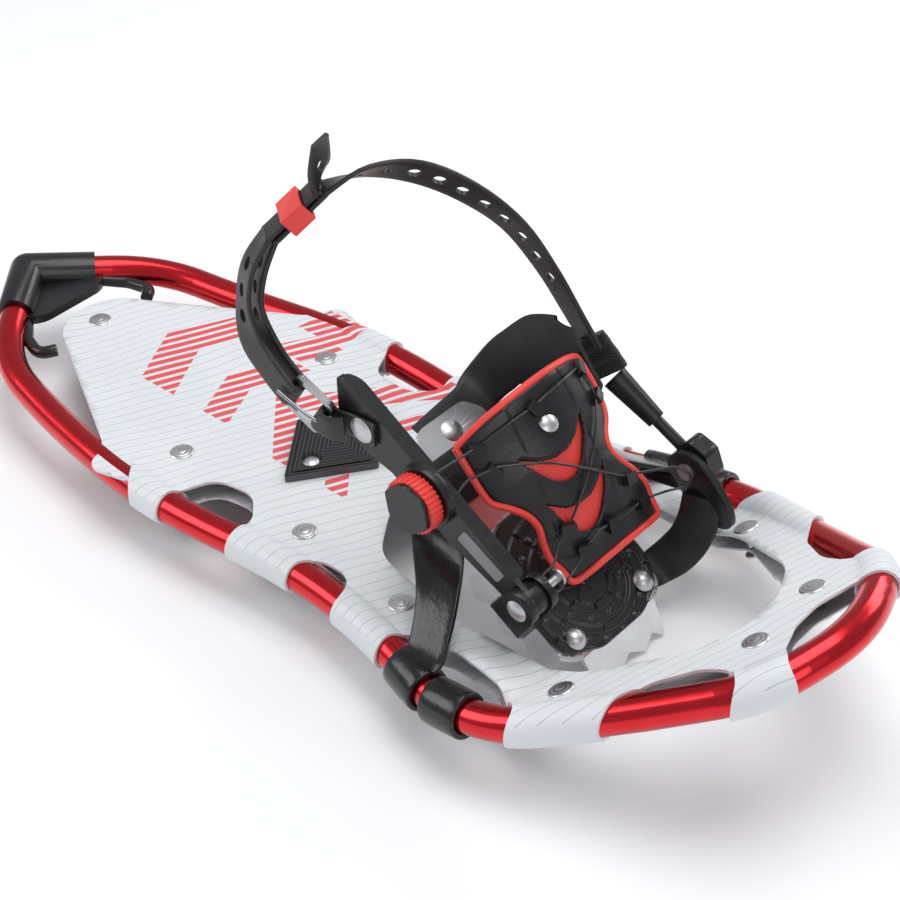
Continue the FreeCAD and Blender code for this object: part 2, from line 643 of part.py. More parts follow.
def make_instep_shell():
    rings = [shell_ring(x, edges, 0, 0, SHELL_T) for x, *edges in SHELL]
    shell = Part.makeLoft(rings, True, True)
    for along, reach in ((-67, 10), (-46, 9)):
        outline = [(along - 5, -reach), (along - 7, reach), (along + 7, reach - 3), (along + 5, -reach + 2)]
        window = plate(outline, 10, 80, 3)
        shell = shell.cut(window)
    shell = shell.cut(Part.makeCylinder(2.0, 60, V(-79.5, 0, 30), V(0, 0, 1)))
    node("instep_shell", shell, binding=True)
    make_guides(shell)
    rows = [row for row in SHELL if -90 < row[0] < -30]
    rings = [shell_ring(x, edges, 3.0, SHELL_T + 0.3, SHELL_T + 1.3) for x, *edges in rows]
    lining = Part.makeLoft(rings, True, True).cut(Part.makeCylinder(2.0, 60, V(-79.5, 0, 30), V(0, 0, 1)))
    node("shell_lining", lining, binding=True)
    top = shell_height(-79.5, 0)
    stud = rivet(V(-79.5, 0, top + 0.2), V(0, 0, 1), 5.0, 1.8, 1.9, SHELL_T + 2.6, 4.0, 1.0)
    node("shell_rivet", stud.cut(shell).cut(lining), binding=True)
    edge = []
    for x, left, crown, right in SHELL:
        edge.append((x, left[0] - 1.9, left[1] - 1.0))
    front = [(-16.5, 0, shell_height(-20, 0) - 1.5), (-16.5, 28, shell_height(-20, 28) - 1.5)]
    back = []
    for x, left, crown, right in reversed(SHELL):
        back.append((x, right[0] + 1.9, right[1] - 1.0))
    rear = []
    for y in (24, 3, -18):
        rear.append((-99.0, y, shell_height(-96, y) - 1.2))
    route_a = rear[1:] + edge + front[:1]
    route_b = [front[0], front[1]] + back + rear[:2]
    piping = tube(route_a, 1.5, 6).fuse(tube(route_b, 1.5, 6)).cut(shell)
    node("shell_piping", piping, binding=True)


# Lace guides on the shell, each with the direction that the lace passes through it.
GUIDES = [
    (-90, -30, 60), (-88, -4, 25), (-91, 32, -40), (-77, 34, -70), (-78, -28, 30),
    (-40, 27, 80), (-28, 31, 80), (-29, 10, -5), (-40, -9, 80), (-28, -5, 80),
]


def make_guides(shell):
    blocks = []
    channel = lace_bar(LACE_R + 0.15)
    for x, y, turn in GUIDES:
        z = shell_height(x, y) + 0.15
        block = plate([(-3.6, -2.6), (3.6, -2.6), (3.6, 2.6), (-3.6, 2.6)], -0.6, 4.4, 0.8)
        slope = math.degrees(math.atan2(shell_height(x, y + 1) - shell_height(x, y - 1), 2))
        rise = math.degrees(math.atan2(shell_height(x + 1, y) - shell_height(x - 1, y), 2))
        block.rotate(V(0, 0, 0), V(0, 0, 1), turn)
        block.rotate(V(0, 0, 0), V(1, 0, 0), slope)
        block.rotate(V(0, 0, 0), V(0, 1, 0), -rise)
        block.translate(V(x, y, z))
        block = block.cut(shell).cut(channel)
        blocks.append(max(block.Solids, key=lambda s: s.Volume))
    node("lace_guides", *blocks, binding=True)


LACE_R = 0.6


def over_shell(points, lift=2.6, step=7.0):
    """Points on the shell joined by short hops that keep clear above it."""
    route = []
    for (x0, y0), (x1, y1) in zip(points, points[1:]):
        hops = max(1, round(math.hypot(x1 - x0, y1 - y0) / step))
        for i in range(hops):
            x = x0 + (x1 - x0) * i / hops
            y = y0 + (y1 - y0) * i / hops
            route.append((x, y, shell_height(x, y) + lift))
    x, y = points[-1]
    route.append((x, y, shell_height(x, y) + lift))
    return route


def lace_bar(radius):
    """The lace's route: dial, back edge, cuff side, front edge, both hinges and back to the dial."""
    dial_front = (DIAL_X + 9, RAIL_OUT + 4.0, DIAL_Z + 1)
    dial_back = (DIAL_X - 4, RAIL_OUT + 4.0, DIAL_Z + 9)
    first = over_shell([(-90, -30), (-88, -4), (-91, 32), (-77, 34), (-58, 14), (-40, -9), (-37, -15)])
    second = over_shell([(-25, -10), (-28, -5), (-30, 2), (-29, 10), (-28, 20), (-28, 34)])
    third = over_shell([(-40, 30), (-41, 25), (-44, 20)]) + over_shell([(-50, 10), (-64, -8), (-78, -28)], 4.1)
    route = [dial_back, (-91, -42, 46.5)] + first
    route += [(-31, -26, 29), (-30.5, -37, 31), (-25.5, -38, 30.5), (-20.5, -36, 31.0), (-22, -24, 26)]
    route += second + [(-24, 48, 31), (-20, 55, 34), (-22, 57, 40), (-30, 52, 41)] + third
    route += [(-82, -40, 40), dial_front]
    return tube(route, radius, 5)


def make_lace():
    node("lace", lace_bar(LACE_R), binding=True)


BUCKLE_FRONT = V(-143.5, RAIL_OUT - 5.3, 18.0)
BUCKLE_REAR = V(-163.5, RAIL_OUT - 5.3, 13.5)
FOLD_R = 3.6
KEEPER_TOP = V(-214.0, -27.0, 80.5)
KEEPER_LOW = V(-214.0, -47.0, 57.5)
KEEPER_OUT = V(-0.70, -0.71, 0.0)
LAYERS = 3.5             # from the strap's middle to the middle of its folded-back tail
HEEL_CENTRE = V(-150.0, 0.0, 0.0)
HEEL_W = 15.0
HEEL_T = 2.2


def half_turn(centre, radius, front):
    """Points round an upright bar from its inner side to its outer side."""
    points = []
    for i in range(1, 6):
        turn = math.pi * i / 6
        x = centre.x + front * radius * math.sin(turn)
        points.append((x, centre.y + radius * math.cos(turn), centre.z))
    return points


def straight_run(shift):
    ahead = (KEEPER_LOW - KEEPER_TOP).normalize()
    ends = [KEEPER_TOP, KEEPER_TOP + ahead * 1.5, KEEPER_LOW - ahead * 1.5, KEEPER_LOW]
    return [tuple(p + KEEPER_OUT * shift) for p in ends]


def strap_route():
    down = [
        (-96, 59.8, 42.5), (-112, 57.5, 50), (-134, 52, 63), (-157, 42, 77), (-178, 25, 88), (-196, 7, 92.5),
        (-208, -11, 90),
    ]
    near = BUCKLE_REAR.y + FOLD_R
    far = BUCKLE_REAR.y - FOLD_R
    bar = BUCKLE_REAR
    to_buckle = [(-209, -53.5, 44), (-201.5, -56.6, 30), (-190, near, 18.5), (-176, near, 14)]
    to_buckle.append((bar.x, near, bar.z))
    back = [(bar.x, far, bar.z), (-176.5, far + 0.3, 14), (-191.5, far + 1.2, 17), (-204.5, -62, 30)]
    back.append((-212.5, -58, 44.5))
    end = [(-219.5, -30.5, 91), (-225, -31.5, 105)]
    route = down + straight_run(0.0) + to_buckle + half_turn(BUCKLE_REAR, FOLD_R, 1) + back
    return route + list(reversed(straight_run(LAYERS))) + end


def strap_band(width, thick):
    """The heel strap, lying square to the line from the middle of the heel."""
    points = strap_route()
    stations = []
    last = None
    for i, point in enumerate(points):
        ahead = V(*points[min(i + 1, len(points) - 1)]) - V(*points[max(i - 1, 0)])
        here = V(*point)
        out = V(here.x - HEEL_CENTRE.x, here.y * 1.6, 0)
        if KEEPER_LOW.z - 1 < here.z < KEEPER_TOP.z + 1 and here.y < -20:
            out = KEEPER_OUT
        if here.z < 22 and here.y < -56.8:
            out = V(0, -1, 0)
            ahead.y = 0 if abs(ahead.x) > 0.5 else ahead.y
        side = V(0, 0, 1) if abs(here.z - BUCKLE_REAR.z) < 0.01 else ahead.cross(out).normalize()
        if last is not None and side.dot(last) < 0:
            side = side * -1
        last = side
        stations.append((point, tuple(side), width))
    return ribbon(stations, thick)


def make_heel_strap():
    node("heel_strap", strap_band(HEEL_W, HEEL_T), binding=True)
    bar = BUCKLE_FRONT
    inner = bar.y + FOLD_R
    outer = bar.y - FOLD_R
    face = RAIL_OUT - 1.3
    points = [(-122, face, 33.5), (-128, face, 29.5), (-133, face, 25.5), (-138, inner, 21)]
    points.append((bar.x, inner, bar.z))
    points += half_turn(bar, FOLD_R, -1)
    points += [(bar.x, outer, bar.z), (-138, outer + 0.8, 20.5), (-133.5, face - 3.6, 24)]
    stations = []
    last = V(0, 0, 1)
    for i, point in enumerate(points):
        ahead = V(*points[min(i + 1, len(points) - 1)]) - V(*points[max(i - 1, 0)])
        side = V(0, 0, 1)
        if abs(point[0] - bar.x) > 5:
            side = V(-ahead.z, 0, ahead.x).normalize()
        if side.dot(last) < 0:
            side = side * -1
        last = side
        stations.append((point, tuple(side), 12.0))
    tongue = ribbon(stations, 2.0)
    tongue = tongue.cut(cylinder_y(2.2, -128, 29.5, -80, -40))
    tongue = tongue.cut(Part.makeBox(14, 14, 5, V(bar.x - 9, bar.y - 7, bar.z - 2.9)))
    node("buckle_tongue", tongue, binding=True)


def make_buckle():
    half = 10.4
    wire = 1.4

    def loop(grow):
        front, rear = BUCKLE_FRONT, BUCKLE_REAR
        return [
            (front.x + grow, front.z + half + grow), (rear.x - grow, rear.z + half + grow),
            (rear.x - grow, rear.z - half - grow), (front.x + grow, front.z - half - grow),
        ]

    ring = side_plate(loop(wire), BUCKLE_REAR.y - wire, 2 * wire, 3)
    hole = side_plate(loop(-wire), BUCKLE_REAR.y - 3, 6, 1.5)
    node("buckle_frame", ring.cut(hole), binding=True)
    front, rear = BUCKLE_FRONT, BUCKLE_REAR
    eye = Part.makeTorus(3.4, 0.9, front, V(0, 0, 1))
    route = [(front.x, front.y - 3.5, front.z), (front.x - 7, front.y - 5.6, front.z - 1.4),
             (rear.x - 3, rear.y - 6.4, rear.z - 0.4)]
    prong = tube(route, 0.9, 20).fuse(eye)
    node("buckle_prong", prong, binding=True)


def make_keeper():
    ahead = (KEEPER_LOW - KEEPER_TOP).normalize()
    side = ahead.cross(KEEPER_OUT).normalize()
    out = side.cross(ahead).normalize()
    centre = (KEEPER_TOP + KEEPER_LOW) * 0.5 + KEEPER_OUT * (LAYERS / 2)
    length = 12.0
    hole_w = HEEL_W + 1.2
    hole_t = HEEL_T + LAYERS + 0.8
    wall = 1.6

    def block(width, thick, long):
        base = Part.makeBox(width, thick, long, V(-width / 2, -thick / 2, -long / 2))
        matrix = FreeCAD.Matrix(side.x, out.x, ahead.x, centre.x, side.y, out.y, ahead.y, centre.y,
                                side.z, out.z, ahead.z, centre.z, 0, 0, 0, 1)
        return base.transformGeometry(matrix)

    keeper = block(hole_w + 2 * wall, hole_t + 2 * wall, length).cut(block(hole_w, hole_t, length + 2))
    node("strap_keeper", keeper, binding=True)


# ---- tension dial ----------------------------------------------------------------------------------
def toothed_disc(radius, depth, count, y0, y1):
    disc = cylinder_y(radius, DIAL_X, DIAL_Z, y0, y1)
    for i in range(count):
        turn = 2 * math.pi * i / count
        x = DIAL_X + radius * math.cos(turn)
        z = DIAL_Z + radius * math.sin(turn)
        disc = disc.cut(cylinder_y(depth, x, z, y0 - 1, y1 + 1))
    return disc


def make_dial():
    face = RAIL_OUT
    housing = cylinder_y(15.0, DIAL_X, DIAL_Z, face - 4.6, face)
    housing = housing.cut(cylinder_y(10.4, DIAL_X, DIAL_Z, face - 5.0, face - 1.0))
    housing = housing.fuse(cylinder_y(2.4, DIAL_X, DIAL_Z, face - 7.0, face - 0.5))
    node("dial_housing", housing, binding=True)
    spool = cylinder_y(9.6, DIAL_X, DIAL_Z, face - 4.4, face - 1.3)
    groove = cylinder_y(10.5, DIAL_X, DIAL_Z, face - 3.5, face - 2.2)
    groove = groove.cut(cylinder_y(6.4, DIAL_X, DIAL_Z, face - 3.7, face - 2.0))
    spool = spool.cut(groove).cut(cylinder_y(2.4 + RUNNING, DIAL_X, DIAL_Z, face - 6, face))
    node("lace_spool", spool, binding=True)
    slider = toothed_disc(9.0, 1.1, 16, face - 6.6, face - 4.9)
    slider = slider.fuse(cylinder_y(4.2, DIAL_X, DIAL_Z, face - 10.6, face - 5.0))
    slider = slider.cut(cylinder_y(2.4 + RUNNING, DIAL_X, DIAL_Z, face - 9.4, face - 4.0))
    node("dial_slider", slider, binding=True)
    grip = toothed_disc(13.4, 0.9, 34, face - 12.6, face - 5.6)
    grip = grip.cut(cylinder_y(9.6, DIAL_X, DIAL_Z, face - 11.0, face - 5.0))
    hub = cylinder_y(6.4, DIAL_X, DIAL_Z, face - 11.6, face - 7.2)
    grip = grip.fuse(hub).cut(cylinder_y(4.2 + RUNNING, DIAL_X, DIAL_Z, face - 10.8, face - 5.0))
    node("dial_grip", grip, binding=True)
    points = []
    for i in range(6):
        turn = math.radians(60 * i + 12)
        points.append((DIAL_X + 13.0 * math.cos(turn), DIAL_Z + 13.0 * math.sin(turn)))
    node("dial_cap", side_plate(points, face - 15.0, 2.4, 4), binding=True)


def main():
    make_frame_tube()
    make_tail_cap()
    make_deck()
    make_deck_rivets()
    make_toe_crampon()
    make_heel()
    make_suspension()
    make_foot_pad()
    make_base_fixings()
    make_right_bracket()
    make_left_arm()
    make_medial_wall()
    make_right_rail()
    make_left_rail()
    make_instep_shell()
    make_lace()
    make_heel_strap()
    make_buckle()
    make_keeper()
    make_dial()
    os.makedirs("parts", exist_ok=True)
    for name, shape in NODES.items():
        shape.exportStep(f"parts/{name}.step")
        print(f"{name:24s} {len(shape.Solids):3d} solids {shape.Volume:10.1f} mm3")


main()
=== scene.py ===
import math
import bmesh
import bpy
from mathutils import Matrix, Vector, noise


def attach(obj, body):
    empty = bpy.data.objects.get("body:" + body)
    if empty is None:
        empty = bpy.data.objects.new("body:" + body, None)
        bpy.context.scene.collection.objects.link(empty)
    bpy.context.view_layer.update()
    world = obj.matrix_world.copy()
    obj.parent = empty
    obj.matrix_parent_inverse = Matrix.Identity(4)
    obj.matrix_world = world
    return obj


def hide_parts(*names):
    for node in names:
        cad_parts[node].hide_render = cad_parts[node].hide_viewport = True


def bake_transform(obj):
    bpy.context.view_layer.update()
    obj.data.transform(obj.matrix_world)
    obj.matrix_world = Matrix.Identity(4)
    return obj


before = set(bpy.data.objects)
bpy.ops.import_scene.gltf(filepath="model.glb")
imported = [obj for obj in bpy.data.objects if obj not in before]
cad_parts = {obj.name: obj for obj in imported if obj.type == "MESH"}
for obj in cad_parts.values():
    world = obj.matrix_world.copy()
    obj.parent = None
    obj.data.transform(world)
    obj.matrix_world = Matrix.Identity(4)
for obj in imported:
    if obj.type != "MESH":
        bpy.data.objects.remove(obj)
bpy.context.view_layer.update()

# ---- sizes repeated from the CAD model, in millimetres -------------------------------------------
MM = 0.001
PITCH = math.radians(34.0)
BINDING_AT = Vector((169.7, 0.0, -15.65))
TAIL_X = -242.0
TUBE_Z = -11.0
TUBE_R = 7.95
FLOOR_Z = -39.2
TUBE_BENDS = [
    (0.0, 0.0, 14.0), (46.2, 56.6, 5.5), (99.1, 68.0, 0.0), (186.7, 82.1, 0.0), (309.4, 70.5, 0.0),
    (414.0, 101.0, 0.0), (474.5, 70.8, 25.5), (524.0, 44.4, 50.8), (535.3, 9.9, 56.6),
]
RIVETS = [(60.3, 0), (183.5, 51.3), (275.3, 56.5), (344.2, 64.0), (439.4, 67.4), (503.5, 20.7)]
TOE_BEND_X = 182.7
TOE_SLOPE = 0.511
DECK_TOP = 7.5
SHELL = [
    (-96, (-35, 44), (3, 66), (42, 50)),
    (-80, (-34, 38), (3, 58.5), (41, 47)),
    (-68, (-32, 34), (2, 54), (36, 46)),
    (-58, (-24, 35), (2, 48), (27, 45)),
    (-48, (-19, 31), (3, 43), (28, 43)),
    (-36, (-18, 21), (8, 35), (38, 34)),
    (-20, (-12, 15), (14, 26), (43, 20)),
]


def bound(x, y, z):
    """A point of the binding's own frame, in metres in the row frame."""
    c, s = math.cos(PITCH), math.sin(PITCH)
    return Vector((BINDING_AT.x + x * c + z * s, y, BINDING_AT.z - x * s + z * c)) * MM


def bound_dir(x, y, z):
    c, s = math.cos(PITCH), math.sin(PITCH)
    return Vector((x * c + z * s, y, -x * s + z * c)).normalized()


def ramp(value, low, high):
    t = min(1.0, max(0.0, (value - low) / (high - low)))
    return t * t * (3 - 2 * t)


# ---- camera, light and floor ---------------------------------------------------------------------
CAMERA_AT = Vector((0.5685, -0.5187, 0.5936))
CAMERA_RIGHT = Vector((0.7468, 0.6637, -0.0412))
CAMERA_BACK = Vector((0.5410, -0.5706, 0.6178))
LENS = 78.29
FLOOR_HALF = 30.0
LIGHTS = [      # name, place, target, size, watts
    ("overhead", (0.1, 0.25, 1.5), (0.03, 0, 0), (1.3, 0.9), 13),
    ("left_key", (-0.9, -0.9, 0.9), (0, 0, 0.02), (0.9, 0.7), 7),
    ("front_fill", (1.3, -0.5, 0.7), (0.1, 0, 0.05), (0.8, 0.8), 4),
    ("rim", (0.2, 1.3, 0.7), (0.1, 0, 0.08), (1.0, 0.5), 6),
]


def make_stage():
    scene = bpy.context.scene
    scene.view_settings.view_transform = "Standard"
    camera = bpy.data.objects.new("camera", bpy.data.cameras.new("camera"))
    scene.collection.objects.link(camera)
    camera.data.sensor_width = 36.0
    camera.data.lens = LENS
    camera.data.clip_start = 0.05
    right = CAMERA_RIGHT.normalized()
    back = CAMERA_BACK.normalized()
    up = back.cross(right).normalized()
    right = up.cross(back)
    turn = Matrix((right, up, back)).transposed().to_4x4()
    camera.matrix_world = Matrix.Translation(CAMERA_AT) @ turn
    scene.camera = camera

    world = bpy.data.worlds.new("studio")
    scene.world = world
    world.use_nodes = True
    background = world.node_tree.nodes["Background"]
    background.inputs["Color"].default_value = (0.93, 0.95, 1.0, 1)
    background.inputs["Strength"].default_value = 0.42

    for name, at, target, size, watts in LIGHTS:
        lamp = bpy.data.lights.new(name, "AREA")
        lamp.shape = "RECTANGLE"
        lamp.size, lamp.size_y = size
        lamp.energy = watts
        obj = bpy.data.objects.new(name, lamp)
        scene.collection.objects.link(obj)
        obj.location = at
        obj.rotation_euler = (Vector(target) - Vector(at)).to_track_quat("-Z", "Y").to_euler()

    grid = bmesh.new()
    bmesh.ops.create_grid(grid, x_segments=2, y_segments=2, size=FLOOR_HALF)
    mesh = bpy.data.meshes.new("floor")
    grid.to_mesh(mesh)
    floor = bpy.data.objects.new("floor", mesh)
    floor.location.z = FLOOR_Z * MM
    scene.collection.objects.link(floor)
    g = Graph("floor")
    g.set("Base Color", (0.93, 0.935, 0.945, 1))
    g.set("Roughness", 0.7)
    grain = g.add("ShaderNodeTexNoise", Scale=40.0)
    g.bump(grain.outputs["Fac"], 0.02, 0.0005)
    mesh.materials.append(g.material)


# ---- materials -----------------------------------------------------------------------------------
class Graph:
    """A small helper that builds one procedural material."""

    def __init__(self, name):
        self.material = bpy.data.materials.new(name)
        self.material.use_nodes = True
        self.tree = self.material.node_tree
        self.shader = self.tree.nodes["Principled BSDF"]
        self.last_bump = None

    def set(self, socket, value):
        self.shader.inputs[socket].default_value = value

    def add(self, kind, **values):
        item = self.tree.nodes.new(kind)
        for key, value in values.items():
            key = key.replace("_", " ")
            if isinstance(value, bpy.types.NodeSocket):
                self.tree.links.new(value, item.inputs[key])
            else:
                item.inputs[key].default_value = value
        return item

    def math(self, operation, *values):
        item = self.tree.nodes.new("ShaderNodeMath")
        item.operation = operation
        for i, value in enumerate(values):
            if isinstance(value, bpy.types.NodeSocket):
                self.tree.links.new(value, item.inputs[i])
            else:
                item.inputs[i].default_value = value
        return item.outputs[0]

    def coords(self, kind="Object"):
        if not hasattr(self, "texture"):
            self.texture = self.tree.nodes.new("ShaderNodeTexCoord")
        return self.texture.outputs[kind]

    def xyz(self, vector=None):
        return self.add("ShaderNodeSeparateXYZ", Vector=vector or self.coords()).outputs

    def turned(self):
        """Coordinates in the binding's own level frame, in metres."""
        shift = self.tree.nodes.new("ShaderNodeVectorMath")
        shift.operation = "SUBTRACT"
        self.tree.links.new(self.coords(), shift.inputs[0])
        shift.inputs[1].default_value = BINDING_AT * MM
        spin = self.tree.nodes.new("ShaderNodeVectorRotate")
        spin.rotation_type = "Y_AXIS"
        self.tree.links.new(shift.outputs[0], spin.inputs["Vector"])
        spin.inputs["Angle"].default_value = -PITCH
        return spin.outputs[0]

    def noise(self, scale, detail=3.0, vector=None):
        item = self.add("ShaderNodeTexNoise", Scale=scale, Detail=detail, Vector=vector or self.coords())
        return item.outputs["Fac"]

    def span(self, value, low, high, out_low, out_high):
        item = self.tree.nodes.new("ShaderNodeMapRange")
        self.tree.links.new(value, item.inputs["Value"])
        for key, v in (("From Min", low), ("From Max", high), ("To Min", out_low), ("To Max", out_high)):
            item.inputs[key].default_value = v
        return item.outputs[0]

    def mix(self, factor, a, b):
        item = self.tree.nodes.new("ShaderNodeMix")
        item.data_type = "RGBA"
        self.tree.links.new(factor, item.inputs["Factor"])
        for key, value in (("A", a), ("B", b)):
            slot = next(s for s in item.inputs if s.name == key and s.type == "RGBA")
            if isinstance(value, bpy.types.NodeSocket):
                self.tree.links.new(value, slot)
            else:
                slot.default_value = value
        return next(s for s in item.outputs if s.type == "RGBA")

    def bump(self, height, strength, distance):
        item = self.tree.nodes.new("ShaderNodeBump")
        item.inputs["Strength"].default_value = strength
        item.inputs["Distance"].default_value = distance
        self.tree.links.new(height, item.inputs["Height"])
        if self.last_bump:
            self.tree.links.new(self.last_bump, item.inputs["Normal"])
        self.last_bump = item.outputs["Normal"]
        self.tree.links.new(self.last_bump, self.shader.inputs["Normal"])

    def colour(self, socket):
        self.tree.links.new(socket, self.shader.inputs["Base Color"])

    def rough(self, socket):
        self.tree.links.new(socket, self.shader.inputs["Roughness"])


def plain(
    name, colour, rough, grain=900.0, bump=0.12, depth=0.00008, vary=0.12, coat=0.0, specular=0.42
):
    """A moulded or cast surface with fine grain, mottled colour and uneven gloss."""
    g = Graph(name)
    g.set("Coat Weight", coat)
    g.set("Coat Roughness", 0.15)
    g.set("Specular IOR Level", specular)
    mottle = g.noise(55.0, 4.0)
    dark = tuple(c * (1 - vary) for c in colour) + (1,)
    light = tuple(min(1.0, c * (1 + vary) + 0.004) for c in colour) + (1,)
    g.colour(g.mix(g.span(mottle, 0.3, 0.7, 0, 1), dark, light))
    g.rough(g.span(g.noise(220.0, 3.0), 0.3, 0.7, rough * 0.88, min(1.0, rough * 1.12)))
    g.bump(g.noise(grain, 2.0), bump, depth)
    return g


def tube_material():
    g = Graph("red_anodised")
    g.set("Metallic", 1.0)
    g.set("Coat Weight", 0.35)
    g.set("Coat Roughness", 0.12)
    streak = g.noise(70.0, 4.0)
    g.colour(g.mix(g.span(streak, 0.2, 0.8, 0, 1), (0.64, 0.014, 0.022, 1), (0.70, 0.020, 0.028, 1)))
    g.rough(g.span(g.noise(60.0, 3.0), 0.2, 0.8, 0.20, 0.25))
    g.bump(g.noise(2200.0, 2.0), 0.02, 0.00001)
    return g.material


def deck_materials():
    g = Graph("deck_print")
    x, y, _ = g.xyz()
    x = g.math("MULTIPLY", x, 1000.0)
    y = g.math("MULTIPLY", y, 1000.0)

    def inside(value, low, high):
        return g.math("MULTIPLY", g.math("GREATER_THAN", value, low), g.math("LESS_THAN", value, high))

    def peak(centre, half, start, deep, slope):
        """A peak that points to the tail: a band of given depth behind a bent line."""
        off = g.math("ABSOLUTE", g.math("SUBTRACT", y, centre))
        along = g.math("SUBTRACT", x, g.math("MULTIPLY", off, slope))
        return g.math("MULTIPLY", g.math("LESS_THAN", off, half), inside(along, start, start + deep))

    def sloped(low, high, start, deep, slope):
        along = g.math("SUBTRACT", x, g.math("MULTIPLY", g.math("SUBTRACT", y, low), slope))
        return g.math("MULTIPLY", inside(y, low, high), inside(along, start, start + deep))

    shapes = peak(14.0, 36.0, -142.0, 25.0, 0.55)
    for extra in (
        peak(8.0, 30.0, -88.0, 18.0, 0.45),
        peak(10.0, 64.0, -54.0, 20.0, 0.95),
        peak(10.0, 60.0, -14.0, 15.0, 0.85),
        sloped(40.0, 62.0, -88.0, 22.0, 0.55),
        sloped(62.0, 84.0, -90.0, 30.0, 0.15),
    ):
        shapes = g.math("MAXIMUM", shapes, extra)
    shapes = g.math("MULTIPLY", shapes, g.math("GREATER_THAN", y, -27.0))
    stripe_at = g.math("ADD", g.math("MULTIPLY", x, 0.90), g.math("MULTIPLY", y, -0.44))
    stripe = g.math("GREATER_THAN", g.math("SINE", g.math("MULTIPLY", stripe_at, 2 * math.pi / 5.8)), -0.35)
    on_top = g.math("GREATER_THAN", g.xyz(g.coords("Normal"))[2], 0.6)
    printed = g.math("MULTIPLY", g.math("MULTIPLY", shapes, stripe), on_top)

    drift = g.noise(9.0, 2.0)
    line_at = g.math("ADD", g.math("MULTIPLY", x, 0.90), g.math("MULTIPLY", y, -0.44))
    line_at = g.math("ADD", line_at, g.math("MULTIPLY", drift, 30.0))
    wave = g.math("ABSOLUTE", g.math("SINE", g.math("MULTIPLY", line_at, math.pi / 5.9)))
    lines = g.math("MULTIPLY", g.math("LESS_THAN", wave, 0.12), on_top)

    tone = g.noise(14.0, 3.0)
    sheet = g.mix(g.span(tone, 0.3, 0.7, 0, 1), (0.66, 0.69, 0.715, 1), (0.71, 0.735, 0.755, 1))
    sheet = g.mix(lines, sheet, (0.46, 0.48, 0.50, 1))
    g.colour(g.mix(printed, sheet, (0.70, 0.095, 0.105, 1)))
    g.set("Specular IOR Level", 0.45)
    g.set("Coat Weight", 0.08)
    g.set("Coat Roughness", 0.3)
    g.rough(g.span(g.noise(120.0, 3.0), 0.3, 0.7, 0.36, 0.48))
    g.bump(g.noise(1500.0, 2.0), 0.10, 0.00005)
    warp = g.math("SINE", g.math("MULTIPLY", x, 5.5))
    weft = g.math("SINE", g.math("MULTIPLY", y, 5.5))
    g.bump(g.math("MULTIPLY", warp, weft), 0.06, 0.00004)
    back = plain("deck_back", (0.035, 0.035, 0.038), 0.55)
    return g.material, back.material


def steel(name, colour, rough):
    g = Graph(name)
    g.set("Metallic", 1.0)
    tone = g.noise(90.0, 4.0)
    dark = tuple(c * 0.86 for c in colour) + (1,)
    g.colour(g.mix(g.span(tone, 0.3, 0.7, 0, 1), dark, tuple(colour) + (1,)))
    stretch = g.add("ShaderNodeMapping", Vector=g.coords(), Scale=(40.0, 700.0, 300.0))
    scratch = g.noise(1.0, 3.0, stretch.outputs[0])
    g.rough(g.span(scratch, 0.3, 0.7, rough * 0.9, rough * 1.12))
    g.bump(g.noise(900.0, 2.0), 0.02, 0.00001)
    return g.material


def rubber_pad(name, kind):
    """Black rubber with moulded relief: rings on the foot pad, nested diamonds on the heel pad with painted
    highlight lines along their ribs.
    """
    g = plain(name, (0.008, 0.008, 0.009), 0.32, bump=0.15, specular=0.5)
    if kind == "rings":
        x, y, _ = g.xyz(g.turned())
        x = g.math("ADD", x, 0.019)
        turn = g.math("ARCTAN2", y, x)
        ribs = g.math("SINE", g.math("MULTIPLY", turn, 90.0))
        g.bump(ribs, 0.05, 0.0001)
    else:
        x, y, _ = g.xyz()
        along = g.math("DIVIDE", g.math("ABSOLUTE", x), 0.028)
        across = g.math("DIVIDE", g.math("ABSOLUTE", y), 0.037)
        d = g.math("ADD", along, across)
        ribs = g.math("SINE", g.math("MULTIPLY", d, 2 * math.pi * 5.5))
        # painted highlight: thin lighter grey lines along the diamond rib edges, standing in for light caught
        # by the relief
        rim = g.math("LESS_THAN", g.math("ABSOLUTE", g.math("SUBTRACT", ribs, 0.1)), 0.28)
        g.colour(g.mix(rim, (0.009, 0.009, 0.010, 1), (0.075, 0.075, 0.08, 1)))
        g.bump(g.math("GREATER_THAN", ribs, 0.1), 0.9, 0.0008)
    return g.material


def strap_material(name, colour, rough, rib):
    """Moulded strap rubber, with a fine raised edge beyond rib from the middle line, in metres."""
    g = plain(name, colour, rough, grain=1400.0, bump=0.15, specular=0.38)
    _, v, _ = g.xyz(g.coords("UV"))
    edge = g.math("GREATER_THAN", g.math("ABSOLUTE", v), rib)
    g.bump(edge, 0.5, 0.0003)
    return g.material


def woven_material(name, colour, pitch):
    g = plain(name, colour, 0.85, bump=0.1, specular=0.25)
    g.set("Sheen Weight", 0.35)
    g.set("Sheen Roughness", 0.4)
    u, v, _ = g.xyz(g.coords("UV"))
    wave_u = g.math("SINE", g.math("MULTIPLY", u, 2 * math.pi / pitch))
    wave_v = g.math("SINE", g.math("MULTIPLY", v, 2 * math.pi / (pitch * 1.4)))
    g.bump(g.math("MULTIPLY", wave_u, wave_v), 0.8, 0.0004)
    return g.material


